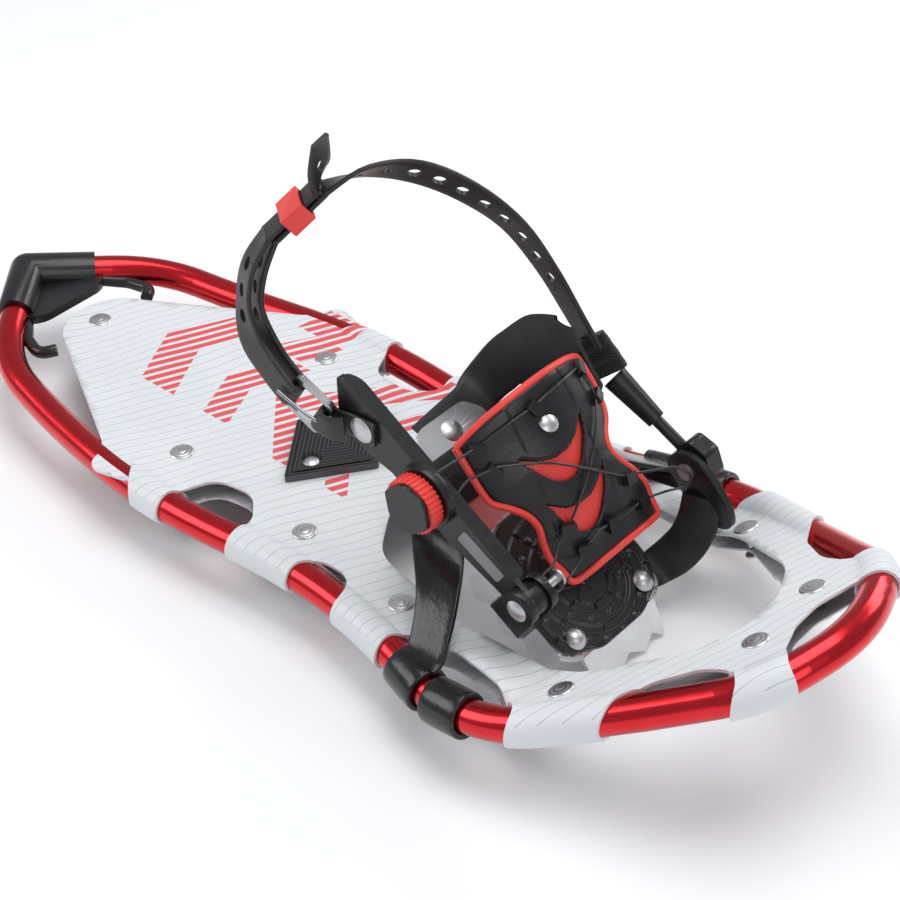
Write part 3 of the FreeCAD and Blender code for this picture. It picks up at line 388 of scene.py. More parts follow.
def embossed_strap():
    """Glossy black strap with a plain raised bar pattern between two edge ribs."""
    g = plain(
        "suspension_rubber", (0.008, 0.008, 0.009), 0.24, grain=420.0, bump=0.5, depth=0.0003, coat=0.15
    )
    u, v, _ = g.xyz(g.coords("UV"))
    edge = g.math("GREATER_THAN", g.math("ABSOLUTE", v), 0.0098)
    bars = g.math("GREATER_THAN", g.math("SINE", g.math("MULTIPLY", u, 2 * math.pi / 0.009)), 0.25)
    bars = g.math("MULTIPLY", bars, g.math("LESS_THAN", g.math("ABSOLUTE", v), 0.0055))
    g.bump(g.math("MAXIMUM", edge, bars), 0.7, 0.0006)
    return g.material


# ---- mesh helpers --------------------------------------------------------------------------------
def add_object(name, mesh, material, smooth=35.0):
    for polygon in mesh.polygons:
        polygon.use_smooth = True
    mesh.set_sharp_from_angle(angle=math.radians(smooth))
    for item in material if isinstance(material, (list, tuple)) else [material]:
        mesh.materials.append(item)
    obj = bpy.data.objects.new(name, mesh)
    bpy.context.scene.collection.objects.link(obj)
    return obj


def through(points, per):
    """A smooth line through points, with `per` samples for each run."""
    line = []
    last = len(points) - 1
    for i in range(last):
        a, b, c, d = (points[max(0, i - 1)], points[i], points[i + 1], points[min(last, i + 2)])
        for k in range(per):
            t = k / per
            line.append(
                0.5 * ((2 * b) + (c - a) * t + (2 * a - 5 * b + 4 * c - d) * t * t
                       + (3 * b - a - 3 * c + d) * t * t * t)
            )
    line.append(points[last].copy())
    return line


def section(width, thick, round_by, across):
    """A rectangle with rounded corners as (across, out) pairs, from one edge round to it again."""
    r = min(thick, width) / 2 * round_by
    w, t = width / 2, thick / 2
    points = []
    corners = [(w - r, t - r, 0), (-w + r, t - r, 90), (-w + r, -t + r, 180), (w - r, -t + r, 270)]
    for n, (cx, cy, start) in enumerate(corners):
        for k in range(4):
            turn = math.radians(start + 30 * k)
            points.append((cx + r * math.cos(turn), cy + r * math.sin(turn)))
        if n in (0, 2):
            x0 = points[-1][0]
            x1 = -x0
            for k in range(1, across):
                points.append((x0 + (x1 - x0) * k / across, points[-1][1]))
    return points


def band(name, rows, thick, material, per=6, across=6, round_by=0.8, shape=None):
    """A closed band through rows of (centre, side, width), all in metres; shape moves its points."""
    centres = through([r[0] for r in rows], per)
    sides = through([r[1] for r in rows], per)
    widths = through([Vector((r[2], 0, 0)) for r in rows], per)
    bm = bmesh.new()
    layer = bm.loops.layers.uv.new("UVMap")
    rings = []
    along = 0.0
    facts = {}
    for i, centre in enumerate(centres):
        ahead = (centres[min(i + 1, len(centres) - 1)] - centres[max(i - 1, 0)]).normalized()
        side = (sides[i] - ahead * sides[i].dot(ahead)).normalized()
        out = side.cross(ahead).normalized()
        if i:
            along += (centre - centres[i - 1]).length
        ring = []
        for a, b in section(widths[i].x, thick, round_by, across):
            if shape:
                a, b = shape(a, b, along, widths[i].x)
            vert = bm.verts.new(centre + side * a + out * b)
            facts[vert] = (along, a)
            ring.append(vert)
        rings.append(ring)
    count = len(rings[0])
    for r0, r1 in zip(rings, rings[1:]):
        for k in range(count):
            bm.faces.new((r0[k], r0[(k + 1) % count], r1[(k + 1) % count], r1[k]))
    bm.faces.new(list(reversed(rings[0])))
    bm.faces.new(rings[-1])
    for face in bm.faces:
        for loop in face.loops:
            loop[layer].uv = facts[loop.vert]
    return mesh_from(name, bm, material)


def cable(name, points, radius, material, per=5, sides=12):
    """A round bar through smooth points."""
    line = through(points, per)
    bm = bmesh.new()
    rings = []
    out = None
    for i, centre in enumerate(line):
        ahead = (line[min(i + 1, len(line) - 1)] - line[max(i - 1, 0)]).normalized()
        if out is None:
            out = ahead.orthogonal().normalized()
        out = (out - ahead * out.dot(ahead)).normalized()
        side = ahead.cross(out)
        rings.append([
            bm.verts.new(centre + (out * math.cos(a) + side * math.sin(a)) * radius)
            for a in (2 * math.pi * k / sides for k in range(sides))
        ])
    for r0, r1 in zip(rings, rings[1:]):
        for k in range(sides):
            bm.faces.new((r0[k], r0[(k + 1) % sides], r1[(k + 1) % sides], r1[k]))
    bm.faces.new(list(reversed(rings[0])))
    bm.faces.new(rings[-1])
    return mesh_from(name, bm, material)


def turned_piece(bm, at, axis, profile, sides=40):
    """Adds a lathe shape to bm: profile is (radius, height) from the rim to the middle."""
    axis = axis.normalized()
    u = axis.orthogonal().normalized()
    v = axis.cross(u)
    rings = []
    for radius, height in profile:
        if radius < 1e-7:
            rings.append([bm.verts.new(at + axis * height)])
            continue
        rings.append([
            bm.verts.new(at + axis * height + (u * math.cos(a) + v * math.sin(a)) * radius)
            for a in (2 * math.pi * k / sides for k in range(sides))
        ])
    for r0, r1 in zip(rings, rings[1:]):
        for k in range(sides):
            n = (k + 1) % sides
            if len(r1) == 1:
                bm.faces.new((r0[k], r0[n], r1[0]))
            elif len(r0) == 1:
                bm.faces.new((r0[0], r1[n], r1[k]))
            else:
                bm.faces.new((r0[k], r0[n], r1[n], r1[k]))


def mesh_from(name, bm, material, smooth=35.0):
    bmesh.ops.recalc_face_normals(bm, faces=bm.faces)
    mesh = bpy.data.meshes.new(name)
    bm.to_mesh(mesh)
    bm.free()
    return add_object(name, mesh, material, smooth)


def apply_modifiers(obj):
    depsgraph = bpy.context.evaluated_depsgraph_get()
    mesh = bpy.data.meshes.new_from_object(obj.evaluated_get(depsgraph))
    obj.modifiers.clear()
    obj.data = mesh


# ---- frame: deck, rivets, suspension ---------------------------------------------------------------
def corner(before, point, after):
    u = (before - point).normalized()
    v = (after - point).normalized()
    half = u.angle(v) / 2
    reach = min((before - point).length, (after - point).length) * 0.4999
    return point + u * reach, point + v * reach, u, v, half, reach * math.tan(half)


def tube_line(step=4.0):
    """Points along the frame tube's centre line, from one tail leg to the other."""
    near = [Vector((TAIL_X + x, -y, TUBE_Z + z)) for x, y, z in TUBE_BENDS]
    far = [Vector((TAIL_X + x, y, TUBE_Z + z)) for x, y, z in reversed(TUBE_BENDS)]
    points = near + far
    line = [points[0]]

    def run(end):
        start = line[-1]
        count = max(1, int((end - start).length / step))
        line.extend(start.lerp(end, k / count) for k in range(1, count + 1))

    for i in range(1, len(points) - 1):
        start, end, u, v, half, radius = corner(points[i - 1], points[i], points[i + 1])
        run(start)
        centre = points[i] + (u + v).normalized() * (radius / math.sin(half))
        sweep = math.pi - 2 * half
        count = max(2, int(radius * sweep / step))
        a, b = start - centre, end - centre
        for k in range(1, count + 1):
            t = k / count
            arm = (a * math.sin((1 - t) * sweep) + b * math.sin(t * sweep)) / math.sin(sweep)
            line.append(centre + arm)
    run(points[-1])
    return line


LINE = tube_line()


def from_tube(point):
    """Distance in millimetres from the frame tube's centre line."""
    return min((point - p).length for p in LINE)


def deck_height(x):
    knee = TOE_BEND_X - DECK_TOP * math.tan(math.atan(TOE_SLOPE) / 2)
    return TUBE_Z + DECK_TOP + max(0.0, x - knee) * TOE_SLOPE


def deck_normal(x):
    return Vector((0, 0, 1)) if x < TOE_BEND_X else Vector((-TOE_SLOPE, 0, 1)).normalized()


def rivet_places():
    for x, y in RIVETS:
        for side in (1, -1) if y else (1,):
            yield Vector((TAIL_X + x, side * y, deck_height(TAIL_X + x)))


RIVET_AT = list(rivet_places())


def deck_wave(point):
    """How far the taut sheet stands above the flat, in millimetres."""
    x, y = point.x - TAIL_X, abs(point.y)
    arch = 4.2 * math.exp(-(((x - 396) / 30) ** 2)) * ramp(y, 57, 76)
    arch += 1.8 * math.exp(-(((x - 228) / 17) ** 2)) * ramp(y, 38, 56)
    arch += 1.8 * math.exp(-(((x - 304) / 13) ** 2)) * ramp(y, 46, 66)
    sag = 1.1 * noise.noise(Vector((point.x / 70, point.y / 55, 3.1)))
    dimple = 0.0
    for spot in RIVET_AT:
        away = math.hypot(point.x - spot.x, point.y - spot.y)
        dimple -= 0.7 * math.exp(-((away / 11) ** 2))
    still = ramp(math.hypot(point.x / 44, point.y / 46), 0.8, 1.3)
    return (arch + sag * still) + dimple * still


def make_deck():
    bm = bmesh.new()
    bm.from_mesh(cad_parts["deck"].data)
    bmesh.ops.remove_doubles(bm, verts=bm.verts, dist=2e-6)
    for size in (14.0, 9.0, 6.5, 6.5):
        edges = [e for e in bm.edges if e.calc_length() > size * MM]
        if edges:
            bmesh.ops.subdivide_edges(bm, edges=edges, cuts=1)
            bmesh.ops.triangulate(bm, faces=bm.faces)
    for vert in bm.verts:
        point = vert.co / MM
        hold = ramp(from_tube(point), 10.2, 24.0)
        if hold > 0:
            vert.co.z += deck_wave(point) * hold * MM
    bm.normal_update()
    for face in bm.faces:
        middle = face.calc_center_median() / MM
        if face.normal.z < -0.4 and from_tube(middle) > 10.6:
            face.material_index = 1
    mesh = bpy.data.meshes.new("deck_sheet")
    bm.to_mesh(mesh)
    bm.free()
    deck = add_object("deck_sheet", mesh, deck_materials(), smooth=32.0)
    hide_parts("deck")
    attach(deck, "frame")


HEAD = [
    (6.15, -0.4), (6.15, 0.15), (5.95, 0.45), (5.4, 0.80), (5.0, 0.90), (4.7, 0.78), (4.3, 0.80), (4.0, 0.98),
    (3.0, 1.15), (2.6, 1.05), (2.2, 1.08), (1.9, 1.26), (1.0, 1.36), (0.0, 1.40),
]


def make_rivets(steel_bright):
    bm = bmesh.new()
    for spot in RIVET_AT:
        axis = deck_normal(spot.x)
        hold = ramp(from_tube(spot), 10.2, 24.0)
        base = spot + Vector((0, 0, deck_wave(spot) * hold))
        turned_piece(bm, base * MM, axis, [(r * MM, h * MM) for r, h in HEAD])
        under = 3.1 if spot.y == 0 else 13.0
        tail = [(2.2, 0.2), (2.2, -under), (4.9, -under), (4.9, -under - 0.9)]
        tail += [(4.0, -under - 1.2), (0.0, -under - 1.2)]
        turned_piece(bm, base * MM, axis, [(r * MM, h * MM) for r, h in tail], 24)
    heads = mesh_from("deck_rivet_heads", bm, steel_bright, 40)
    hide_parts("deck_rivets")
    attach(heads, "frame")


def nearest_on_line(x, side):
    """Tube centre and direction at a given x, on one side."""
    on_side = [i for i in range(1, len(LINE) - 1) if LINE[i].y * side > 0]
    best = min(on_side, key=lambda i: abs(LINE[i].x - x))
    a, b = LINE[best - 1], LINE[best + 1]
    t = (x - a.x) / (b.x - a.x)
    return a.lerp(b, t), (b - a).normalized()


def wrap_round_tube(bm, layer, x, side, width):
    """One strap loop round the tube, its outer face lifted slightly in two soft swells."""
    centre, along = nearest_on_line(x, side)
    if along.x < 0:
        along = -along
    up = Vector((0, 0, 1))
    up = (up - along * up.dot(along)).normalized()
    out = along.cross(up)
    inner = TUBE_R + 0.12
    count = 60
    profile = section(width, 2.6, 0.7, 6)
    rings = []
    for k in range(count):
        turn = 2 * math.pi * k / count
        ray = up * math.cos(turn) + out * math.sin(turn)
        lift = 0.25 * math.sin(turn * 2 + x)
        ring = []
        for a, b in profile:
            crown = 0.25 * (1 - (2 * a / width) ** 2)
            radius = inner + 1.3 + b + (crown + max(0.0, lift) if b > 0 else 0.0)
            vert = bm.verts.new((centre + along * a + ray * radius) * MM)
            ring.append((vert, (turn * (TUBE_R + 2) * MM, a * MM)))
        rings.append(ring)
    size = len(profile)
    for k in range(count):
        r0, r1 = rings[k], rings[(k + 1) % count]
        for j in range(size):
            n = (j + 1) % size
            face = bm.faces.new((r0[j][0], r0[n][0], r1[n][0], r1[j][0]))
            for loop, value in zip(face.loops, (r0[j], r0[n], r1[n], r1[j])):
                loop[layer].uv = value[1]


STRAP_W = 25.0
STRAP_T = 2.7
STRAP_X = -90.0
WRAPS = (134.0, 159.0)
WRAP_W = 20.6


def make_suspension(material):
    level = bound_dir(1, 0, 0)
    for side, label in ((-1, "right"), (1, "left")):
        flat = Vector((0.98, 0.2 * side, 0)).normalized()
        start = bound(STRAP_X, side * 35.5, 0.5) / MM
        first = Vector((118.0, side * 50.0, 27.0))
        second = Vector((128.0, side * 65.0, 10.0))
        end = Vector((136.0, side * 85.0, 0.0))
        rows = [(start * MM, level, STRAP_W * MM)]
        for k in range(1, 9):
            t = k / 8
            centre = start * (1 - t) ** 3 + first * (3 * t * (1 - t) ** 2)
            centre = centre + second * (3 * t * t * (1 - t)) + end * t ** 3
            side_way = level.lerp(flat, ramp(t, 0, 1)).normalized()
            rows.append((centre * MM, side_way, (STRAP_W - 4.5 * ramp(t, 0, 0.7)) * MM))
        rows.append((Vector((136.0, side * 90.0, -0.9)) * MM, flat, 20.5 * MM))
        arm = band(f"suspension_arm_{label}", rows, STRAP_T * MM, material, per=8, across=8)
        bm = bmesh.new()
        layer = bm.loops.layers.uv.new("UVMap")
        for x in WRAPS:
            wrap_round_tube(bm, layer, x, side, WRAP_W)
        wraps = mesh_from(f"suspension_wraps_{label}", bm, material, 40)
        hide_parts(f"suspension_strap_{label}")
        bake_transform(arm)
        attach(wraps, "frame")
    rows = []
    for y in (-35.2, -25, -12, 0, 12, 25, 35.2):
        height = 0.8 if y == 0 else 0.55
        rows.append((bound(STRAP_X, y, height), level, STRAP_W * MM))
    bridge = band("strap_over_plate", rows, STRAP_T * MM, material, per=3, across=8)
    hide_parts("strap_bridge")
    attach(bridge, "binding_base")


# ---- binding base ----------------------------------------------------------------------------------
PAD_OUTLINE = [(-62, 20), (-54, 27), (-44, 36), (-8, 37), (4, 31), (11, 14)]
PAD_CENTRE = -19.0
PAD_TOP = 2.1
PAD_UNDER = -0.9


def pad_reach(turn):
    """Distance from the pad's middle to its outline in one direction, in millimetres."""
    ray = Vector((math.cos(turn), math.sin(turn)))
    ring = PAD_OUTLINE + [(x, -y) for x, y in reversed(PAD_OUTLINE)]
    best = 1e9
    for (x0, y0), (x1, y1) in zip(ring, ring[1:] + ring[:1]):
        a = Vector((x0 - PAD_CENTRE, y0))
        edge = Vector((x1 - x0, y1 - y0))
        across = ray.x * edge.y - ray.y * edge.x
        if abs(across) < 1e-9:
            continue
        along = (a.x * edge.y - a.y * edge.x) / across
        part = (a.x * ray.y - a.y * ray.x) / across
        if along > 0 and -1e-6 <= part <= 1 + 1e-6:
            best = min(best, along)
    if ray.y < -0.5:
        best = min(best, 34.4 / -ray.y)
    return best


def pad_relief(r, turn):
    """Height of the moulded relief: three rings with nubs between them and a plain rosette."""
    rings = max(math.exp(-(((r - k) / 2.0) ** 6)) for k in (14.5, 25.0, 35.5))
    gap = abs((turn / (math.pi / 4)) % 1.0 - 0.5) * 2
    rings *= ramp(gap * max(r, 4.0), 1.2, 2.2)
    nubs = 0.0
    for radius, count in ((19.8, 12), (30.2, 18)):
        step = 2 * math.pi / count
        off = ((turn + step / 2) % step - step / 2) * r
        nubs = max(nubs, math.exp(-((math.hypot(r - radius, off) / 1.5) ** 4)))
    rosette = ramp(math.sin(turn * 6) * 5 + 9.0 - r, 0.0, 1.2) * ramp(r, 2.2, 3.2)
    return 1.0 * rings + 0.8 * nubs + 0.7 * rosette


def make_foot_pad(material):
    bm = bmesh.new()
    turns = 360
    steps = 90
    reach = [pad_reach(2 * math.pi * k / turns) for k in range(turns)]
    reach = [min(a, (sum(reach[(k + d) % turns] for d in range(-6, 7)) / 13)) for k, a in enumerate(reach)]
    rings = []
    for i in range(1, steps + 1):
        ring = []
        for k in range(turns):
            turn = 2 * math.pi * k / turns
            r = reach[k] * i / steps
            z = PAD_TOP + pad_relief(r, turn) - 0.8 * math.exp(-(reach[k] - r) / 0.5)
            ring.append(bm.verts.new(bound(PAD_CENTRE + r * math.cos(turn), r * math.sin(turn), z)))
        rings.append(ring)
    floor = []
    for k in range(turns):
        turn = 2 * math.pi * k / turns
        x = PAD_CENTRE + reach[k] * math.cos(turn)
        floor.append(bm.verts.new(bound(x, reach[k] * math.sin(turn), PAD_UNDER)))
    rings.append(floor)
    top = bm.verts.new(bound(PAD_CENTRE, 0, PAD_TOP))
    base = bm.verts.new(bound(PAD_CENTRE, 0, PAD_UNDER))
    for k in range(turns):
        n = (k + 1) % turns
        bm.faces.new((top, rings[0][k], rings[0][n]))
        bm.faces.new((base, floor[n], floor[k]))
        for r0, r1 in zip(rings, rings[1:]):
            bm.faces.new((r0[k], r1[k], r1[n], r0[n]))
    pad = mesh_from("foot_pad_moulded", bm, material, 45)
    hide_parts("foot_pad")
    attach(pad, "binding_base")


def make_hinge_arm(material):
    """The moulded inner arm that rises from the plate to the ankle hinge."""
    rows = [
        ((-2, 14, -4.7), 15), ((-2, 30, -4.7), 16), ((-1, 40, -2.6), 18), ((0, 46.5, 5.5), 20),
        ((-1, 51.5, 14.5), 20), ((-5, 56.5, 22.5), 20), ((-12, 60.5, 31.0), 19),
    ]
    stations = [(bound(*c), bound_dir(1, 0, 0), w * MM) for c, w in rows]

    def crown(a, b, along, width):
        swell = 0.9 * MM * math.cos(math.pi * a / width) * ramp(along, 0.030, 0.045)
        return a, b + swell * (1 if b > 0 else -1)

    arm = band("hinge_arm_moulded", stations, 2.6 * MM, material, per=8, across=8, shape=crown)
    horn = [(3, 25), (7, 33), (0, 40), (-12, 44), (-26, 45), (-35, 38), (-34, 28), (-24, 24), (-11, 21)]
    closed = [Vector((x, z, 0)) for x, z in horn]
    smooth = through([closed[-1]] + closed + closed[:2], 6)[6:-6]
    bm = bmesh.new()
    layers = []
    for y, inset in ((59.6, 0.06), (60.2, 0.0), (63.2, 0.0), (63.8, 0.06)):
        middle = Vector((-14, 34, 0))
        ring = [p.lerp(middle, inset) for p in smooth]
        layers.append([bm.verts.new(bound(p.x, y, p.y)) for p in ring])
    count = len(smooth)
    for r0, r1 in zip(layers, layers[1:]):
        for k in range(count):
            bm.faces.new((r0[k], r0[(k + 1) % count], r1[(k + 1) % count], r1[k]))
    bm.faces.new(layers[0])
    bm.faces.new(list(reversed(layers[-1])))
    cheek = mesh_from("hinge_arm_cheek", bm, material, 40)
    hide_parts("hinge_arm_left")
    for obj in (arm, cheek):
        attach(obj, "binding_base")


def make_wall(material):
    """The soft wall that cups the inner side of the foot."""
    rows = [
        ((-112, -12, -5.2), 20), ((-114, 8, -5.2), 20), ((-115, 22, -5.2), 21), ((-118, 31, -3.2), 22),
        ((-119, 38, 4.0), 24), ((-118, 42, 14.0), 27), ((-110, 44.5, 26.0), 42), ((-98, 46, 38.0), 46),
        ((-93, 47, 50.0), 30),
    ]
    stations = [(bound(*c), bound_dir(1, 0, 0), w * MM) for c, w in rows]

    def crown(a, b, along, width):
        return a, b + 0.0006 * math.cos(math.pi * a / width)

    wall = band("medial_wall_soft", stations, 2.5 * MM, material, per=7, across=10, shape=crown)
    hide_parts("medial_wall")
    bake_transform(wall)


# ---- harness ---------------------------------------------------------------------------------------
def spline_rows(x):
    """Edges and crown of the instep shell at x, smoothed through the sections."""
    rows = SHELL
    for i in range(len(rows) - 1):
        if rows[i][0] <= x <= rows[i + 1][0]:
            t = (x - rows[i][0]) / (rows[i + 1][0] - rows[i][0])
            values = []
            for k in (1, 2, 3):
                a, b = rows[max(0, i - 1)][k], rows[i][k]
                c, d = rows[i + 1][k], rows[min(len(rows) - 1, i + 2)][k]
                values.append([
                    0.5 * (2 * b[n] + (c[n] - a[n]) * t + (2 * a[n] - 5 * b[n] + 4 * c[n] - d[n]) * t * t
                           + (3 * b[n] - a[n] - 3 * c[n] + d[n]) * t ** 3)
                    for n in (0, 1)
                ])
            return values
    raise ValueError(x)


def shell_height(x, y):
    (y0, z0), (y1, z1), (y2, z2) = spline_rows(x)
    total = z0 * (y - y1) * (y - y2) / ((y0 - y1) * (y0 - y2))
    total += z1 * (y - y0) * (y - y2) / ((y1 - y0) * (y1 - y2))
    return total + z2 * (y - y0) * (y - y1) / ((y2 - y0) * (y2 - y1))


def in_crescent(x, y, tip_x, tips, depth, hollow):
    """Signed measure of a crescent that opens towards the heel: positive inside."""
    middle = (tips[0] + tips[1]) / 2
    half = (tips[1] - tips[0]) / 2
    t = (y - middle) / half
    if abs(t) >= 1:
        return -1.0
    bow = 1 - t * t
    outer = tip_x + depth * bow
    inner = tip_x + hollow * bow
    return min(outer - x, x - inner)


def make_shell(shell_mat, coral, lining_mat):
    """The instep shell: a curved shield with two crescent windows, red lining and corded edge."""
    x0, x1 = -96.0, -20.0
    nu, nv = 110, 90
    bm = bmesh.new()

    def height(i, j):
        x = x0 + (x1 - x0) * i / nu
        (y0, _), _, (y2, _) = spline_rows(x)
        y = y0 + (y2 - y0) * j / nv
        return x, y, shell_height(x, y)

    def windows(x, y):
        first = in_crescent(x, y, -76.0, (-19.0, 19.0), 21.0, 10.5)
        second = in_crescent(x, y, -53.0, (-14.5, 18.0), 20.0, 9.0)
        return max(first, second)

    skins = []
    for depth in (0.0, 2.3):
        skin = {}
        for i in range(nu + 1):
            for j in range(nv + 1):
                x, y, z = height(i, j)
                rim = min(i, nu - i, j * 1.2, (nv - j) * 1.2)
                soft = 0.5 * math.exp(-rim / 1.5) * (1 if depth == 0 else -1)
                swell = 0.0
                if depth == 0:
                    swell = 0.5 * ramp(windows(x, y), -6.0, -1.0) * (windows(x, y) < 0)
                skin[i, j] = bm.verts.new(bound(x, y, z - depth - soft + swell))
        skins.append(skin)

    def open_at(i, j):
        x, y, _ = height(i + 0.5, j + 0.5)
        return windows(x, y) > 0

    faces = {}
    for level, skin in enumerate(skins):
        for i in range(nu):
            for j in range(nv):
                if open_at(i, j):
                    continue
                quad = [skin[i, j], skin[i + 1, j], skin[i + 1, j + 1], skin[i, j + 1]]
                faces[level, i, j] = bm.faces.new(quad if level == 0 else list(reversed(quad)))
    outer, inner = skins
    for i in range(nu):
        for j in range(nv):
            if (0, i, j) not in faces:
                continue
            for di, dj, a, b in ((-1, 0, (i, j), (i, j + 1)), (1, 0, (i + 1, j + 1), (i + 1, j)),
                                 (0, -1, (i + 1, j), (i, j)), (0, 1, (i, j + 1), (i + 1, j + 1))):
                if (0, i + di, j + dj) not in faces:
                    bm.faces.new((outer[a], outer[b], inner[b], inner[a]))
    bmesh.ops.delete(bm, geom=[v for v in bm.verts if not v.link_faces], context="VERTS")
    sharp = [e for e in bm.edges if len(e.link_faces) == 2 and e.calc_face_angle(0) > 0.9]
    corners = {v for e in sharp for v in e.verts}
    edge = [v for v in bm.verts if v in corners]
    for _ in range(3):
        bmesh.ops.smooth_vert(bm, verts=edge, factor=0.4, use_axis_x=True, use_axis_y=True, use_axis_z=True)
    shell = mesh_from("instep_shell_moulded", bm, shell_mat, 50)
    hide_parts("instep_shell")
    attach(shell, "harness")

    bm = bmesh.new()
    grid = {}
    for i in range(41):
        for j in range(31):
            x = -86.0 + 54.0 * i / 40
            (y0, _), _, (y2, _) = spline_rows(x)
            y = y0 + 4.0 + (y2 - y0 - 8.0) * j / 30
            for n, drop in enumerate((2.75, 3.5)):
                grid[i, j, n] = bm.verts.new(bound(x, y, shell_height(x, y) - drop))
    for i in range(40):
        for j in range(30):
            bm.faces.new([grid[a, b, 0] for a, b in ((i, j), (i + 1, j), (i + 1, j + 1), (i, j + 1))])
            bm.faces.new([grid[a, b, 1] for a, b in ((i, j), (i, j + 1), (i + 1, j + 1), (i + 1, j))])
    for i in range(40):
        for j in (0, 30):
            bm.faces.new((grid[i, j, 0], grid[i, j, 1], grid[i + 1, j, 1], grid[i + 1, j, 0]))
    for j in range(30):
        for i in (0, 40):
            bm.faces.new((grid[i, j, 0], grid[i, j + 1, 0], grid[i, j + 1, 1], grid[i, j, 1]))
    lining = mesh_from("shell_lining_red", bm, lining_mat)
    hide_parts("shell_lining")
    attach(lining, "harness")

    route = []
    for k in range(12):
        x = x0 + (x1 - x0) * k / 11
        (ya, za), _, _ = spline_rows(x)
        route.append((x, ya - 1.2, za - 1.2))
    for k in range(1, 8):
        y = -12 + 55 * k / 8
        route.append((x1 + 1.2, y, shell_height(x1, y) - 1.2))
    for k in range(12):
        x = x1 - (x1 - x0) * k / 11
        _, _, (yb, zb) = spline_rows(x)
        route.append((x, yb + 1.2, zb - 1.2))
    for k in range(1, 8):
        y = 42 - 77 * k / 8
        route.append((x0 - 1.2, y, shell_height(x0, y) - 1.2))
    route.append(route[0])
    piping = cable("shell_piping_cord", [bound(*p) for p in route], 1.7 * MM, coral, per=5)
    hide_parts("shell_piping")
    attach(piping, "harness")


RAIL_OUT = -56.0
BUCKLE_FRONT = Vector((-143.5, RAIL_OUT - 5.3, 18.0))
BUCKLE_REAR = Vector((-163.5, RAIL_OUT - 5.3, 13.5))
FOLD_R = 3.6
KEEPER_TOP = Vector((-214.0, -27.0, 80.5))
KEEPER_LOW = Vector((-214.0, -47.0, 57.5))
KEEPER_OUT = Vector((-0.70, -0.71, 0.0))
LAYERS = 3.5


def half_turn(centre, radius, front):
    points = []
    for i in range(1, 6):
        turn = math.pi * i / 6
        x = centre.x + front * radius * math.sin(turn)
        points.append((x, centre.y + radius * math.cos(turn), centre.z))
    return points


def straight_run(shift):
    ahead = (KEEPER_LOW - KEEPER_TOP).normalized()
    ends = [KEEPER_TOP, KEEPER_TOP + ahead * 1.5, KEEPER_LOW - ahead * 1.5, KEEPER_LOW]
    return [tuple(p + KEEPER_OUT * shift) for p in ends]


def strap_route():
    down = [
        (-96, 59.8, 42.5), (-112, 57.5, 50), (-134, 52, 63), (-157, 42, 77), (-178, 25, 88), (-196, 7, 92.5),
        (-208, -11, 90),
    ]
    bar = BUCKLE_REAR
    near = bar.y + FOLD_R
    far = bar.y - FOLD_R
    to_buckle = [(-209, -53.5, 44), (-201.5, -56.6, 30), (-190, near, 18.5), (-176, near, 14)]
    to_buckle.append((bar.x, near, bar.z))
    back = [(bar.x, far, bar.z), (-176.5, far + 0.3, 14), (-191.5, far + 1.2, 17), (-204.5, -62, 30)]
    back.append((-212.5, -58, 44.5))
    end = [(-219.5, -30.5, 91), (-225, -31.5, 105)]
    route = down + straight_run(0.0) + to_buckle + half_turn(BUCKLE_REAR, FOLD_R, 1) + back
    return route + list(reversed(straight_run(LAYERS))) + end


STRAP_END = 18          # samples of the middle line kept free of holes at the tail
FIRST_HOLE = 0.040
HOLE_PITCH = 0.0127
HOLE_ACROSS = 0.0026
HOLE_ALONG = 0.0033


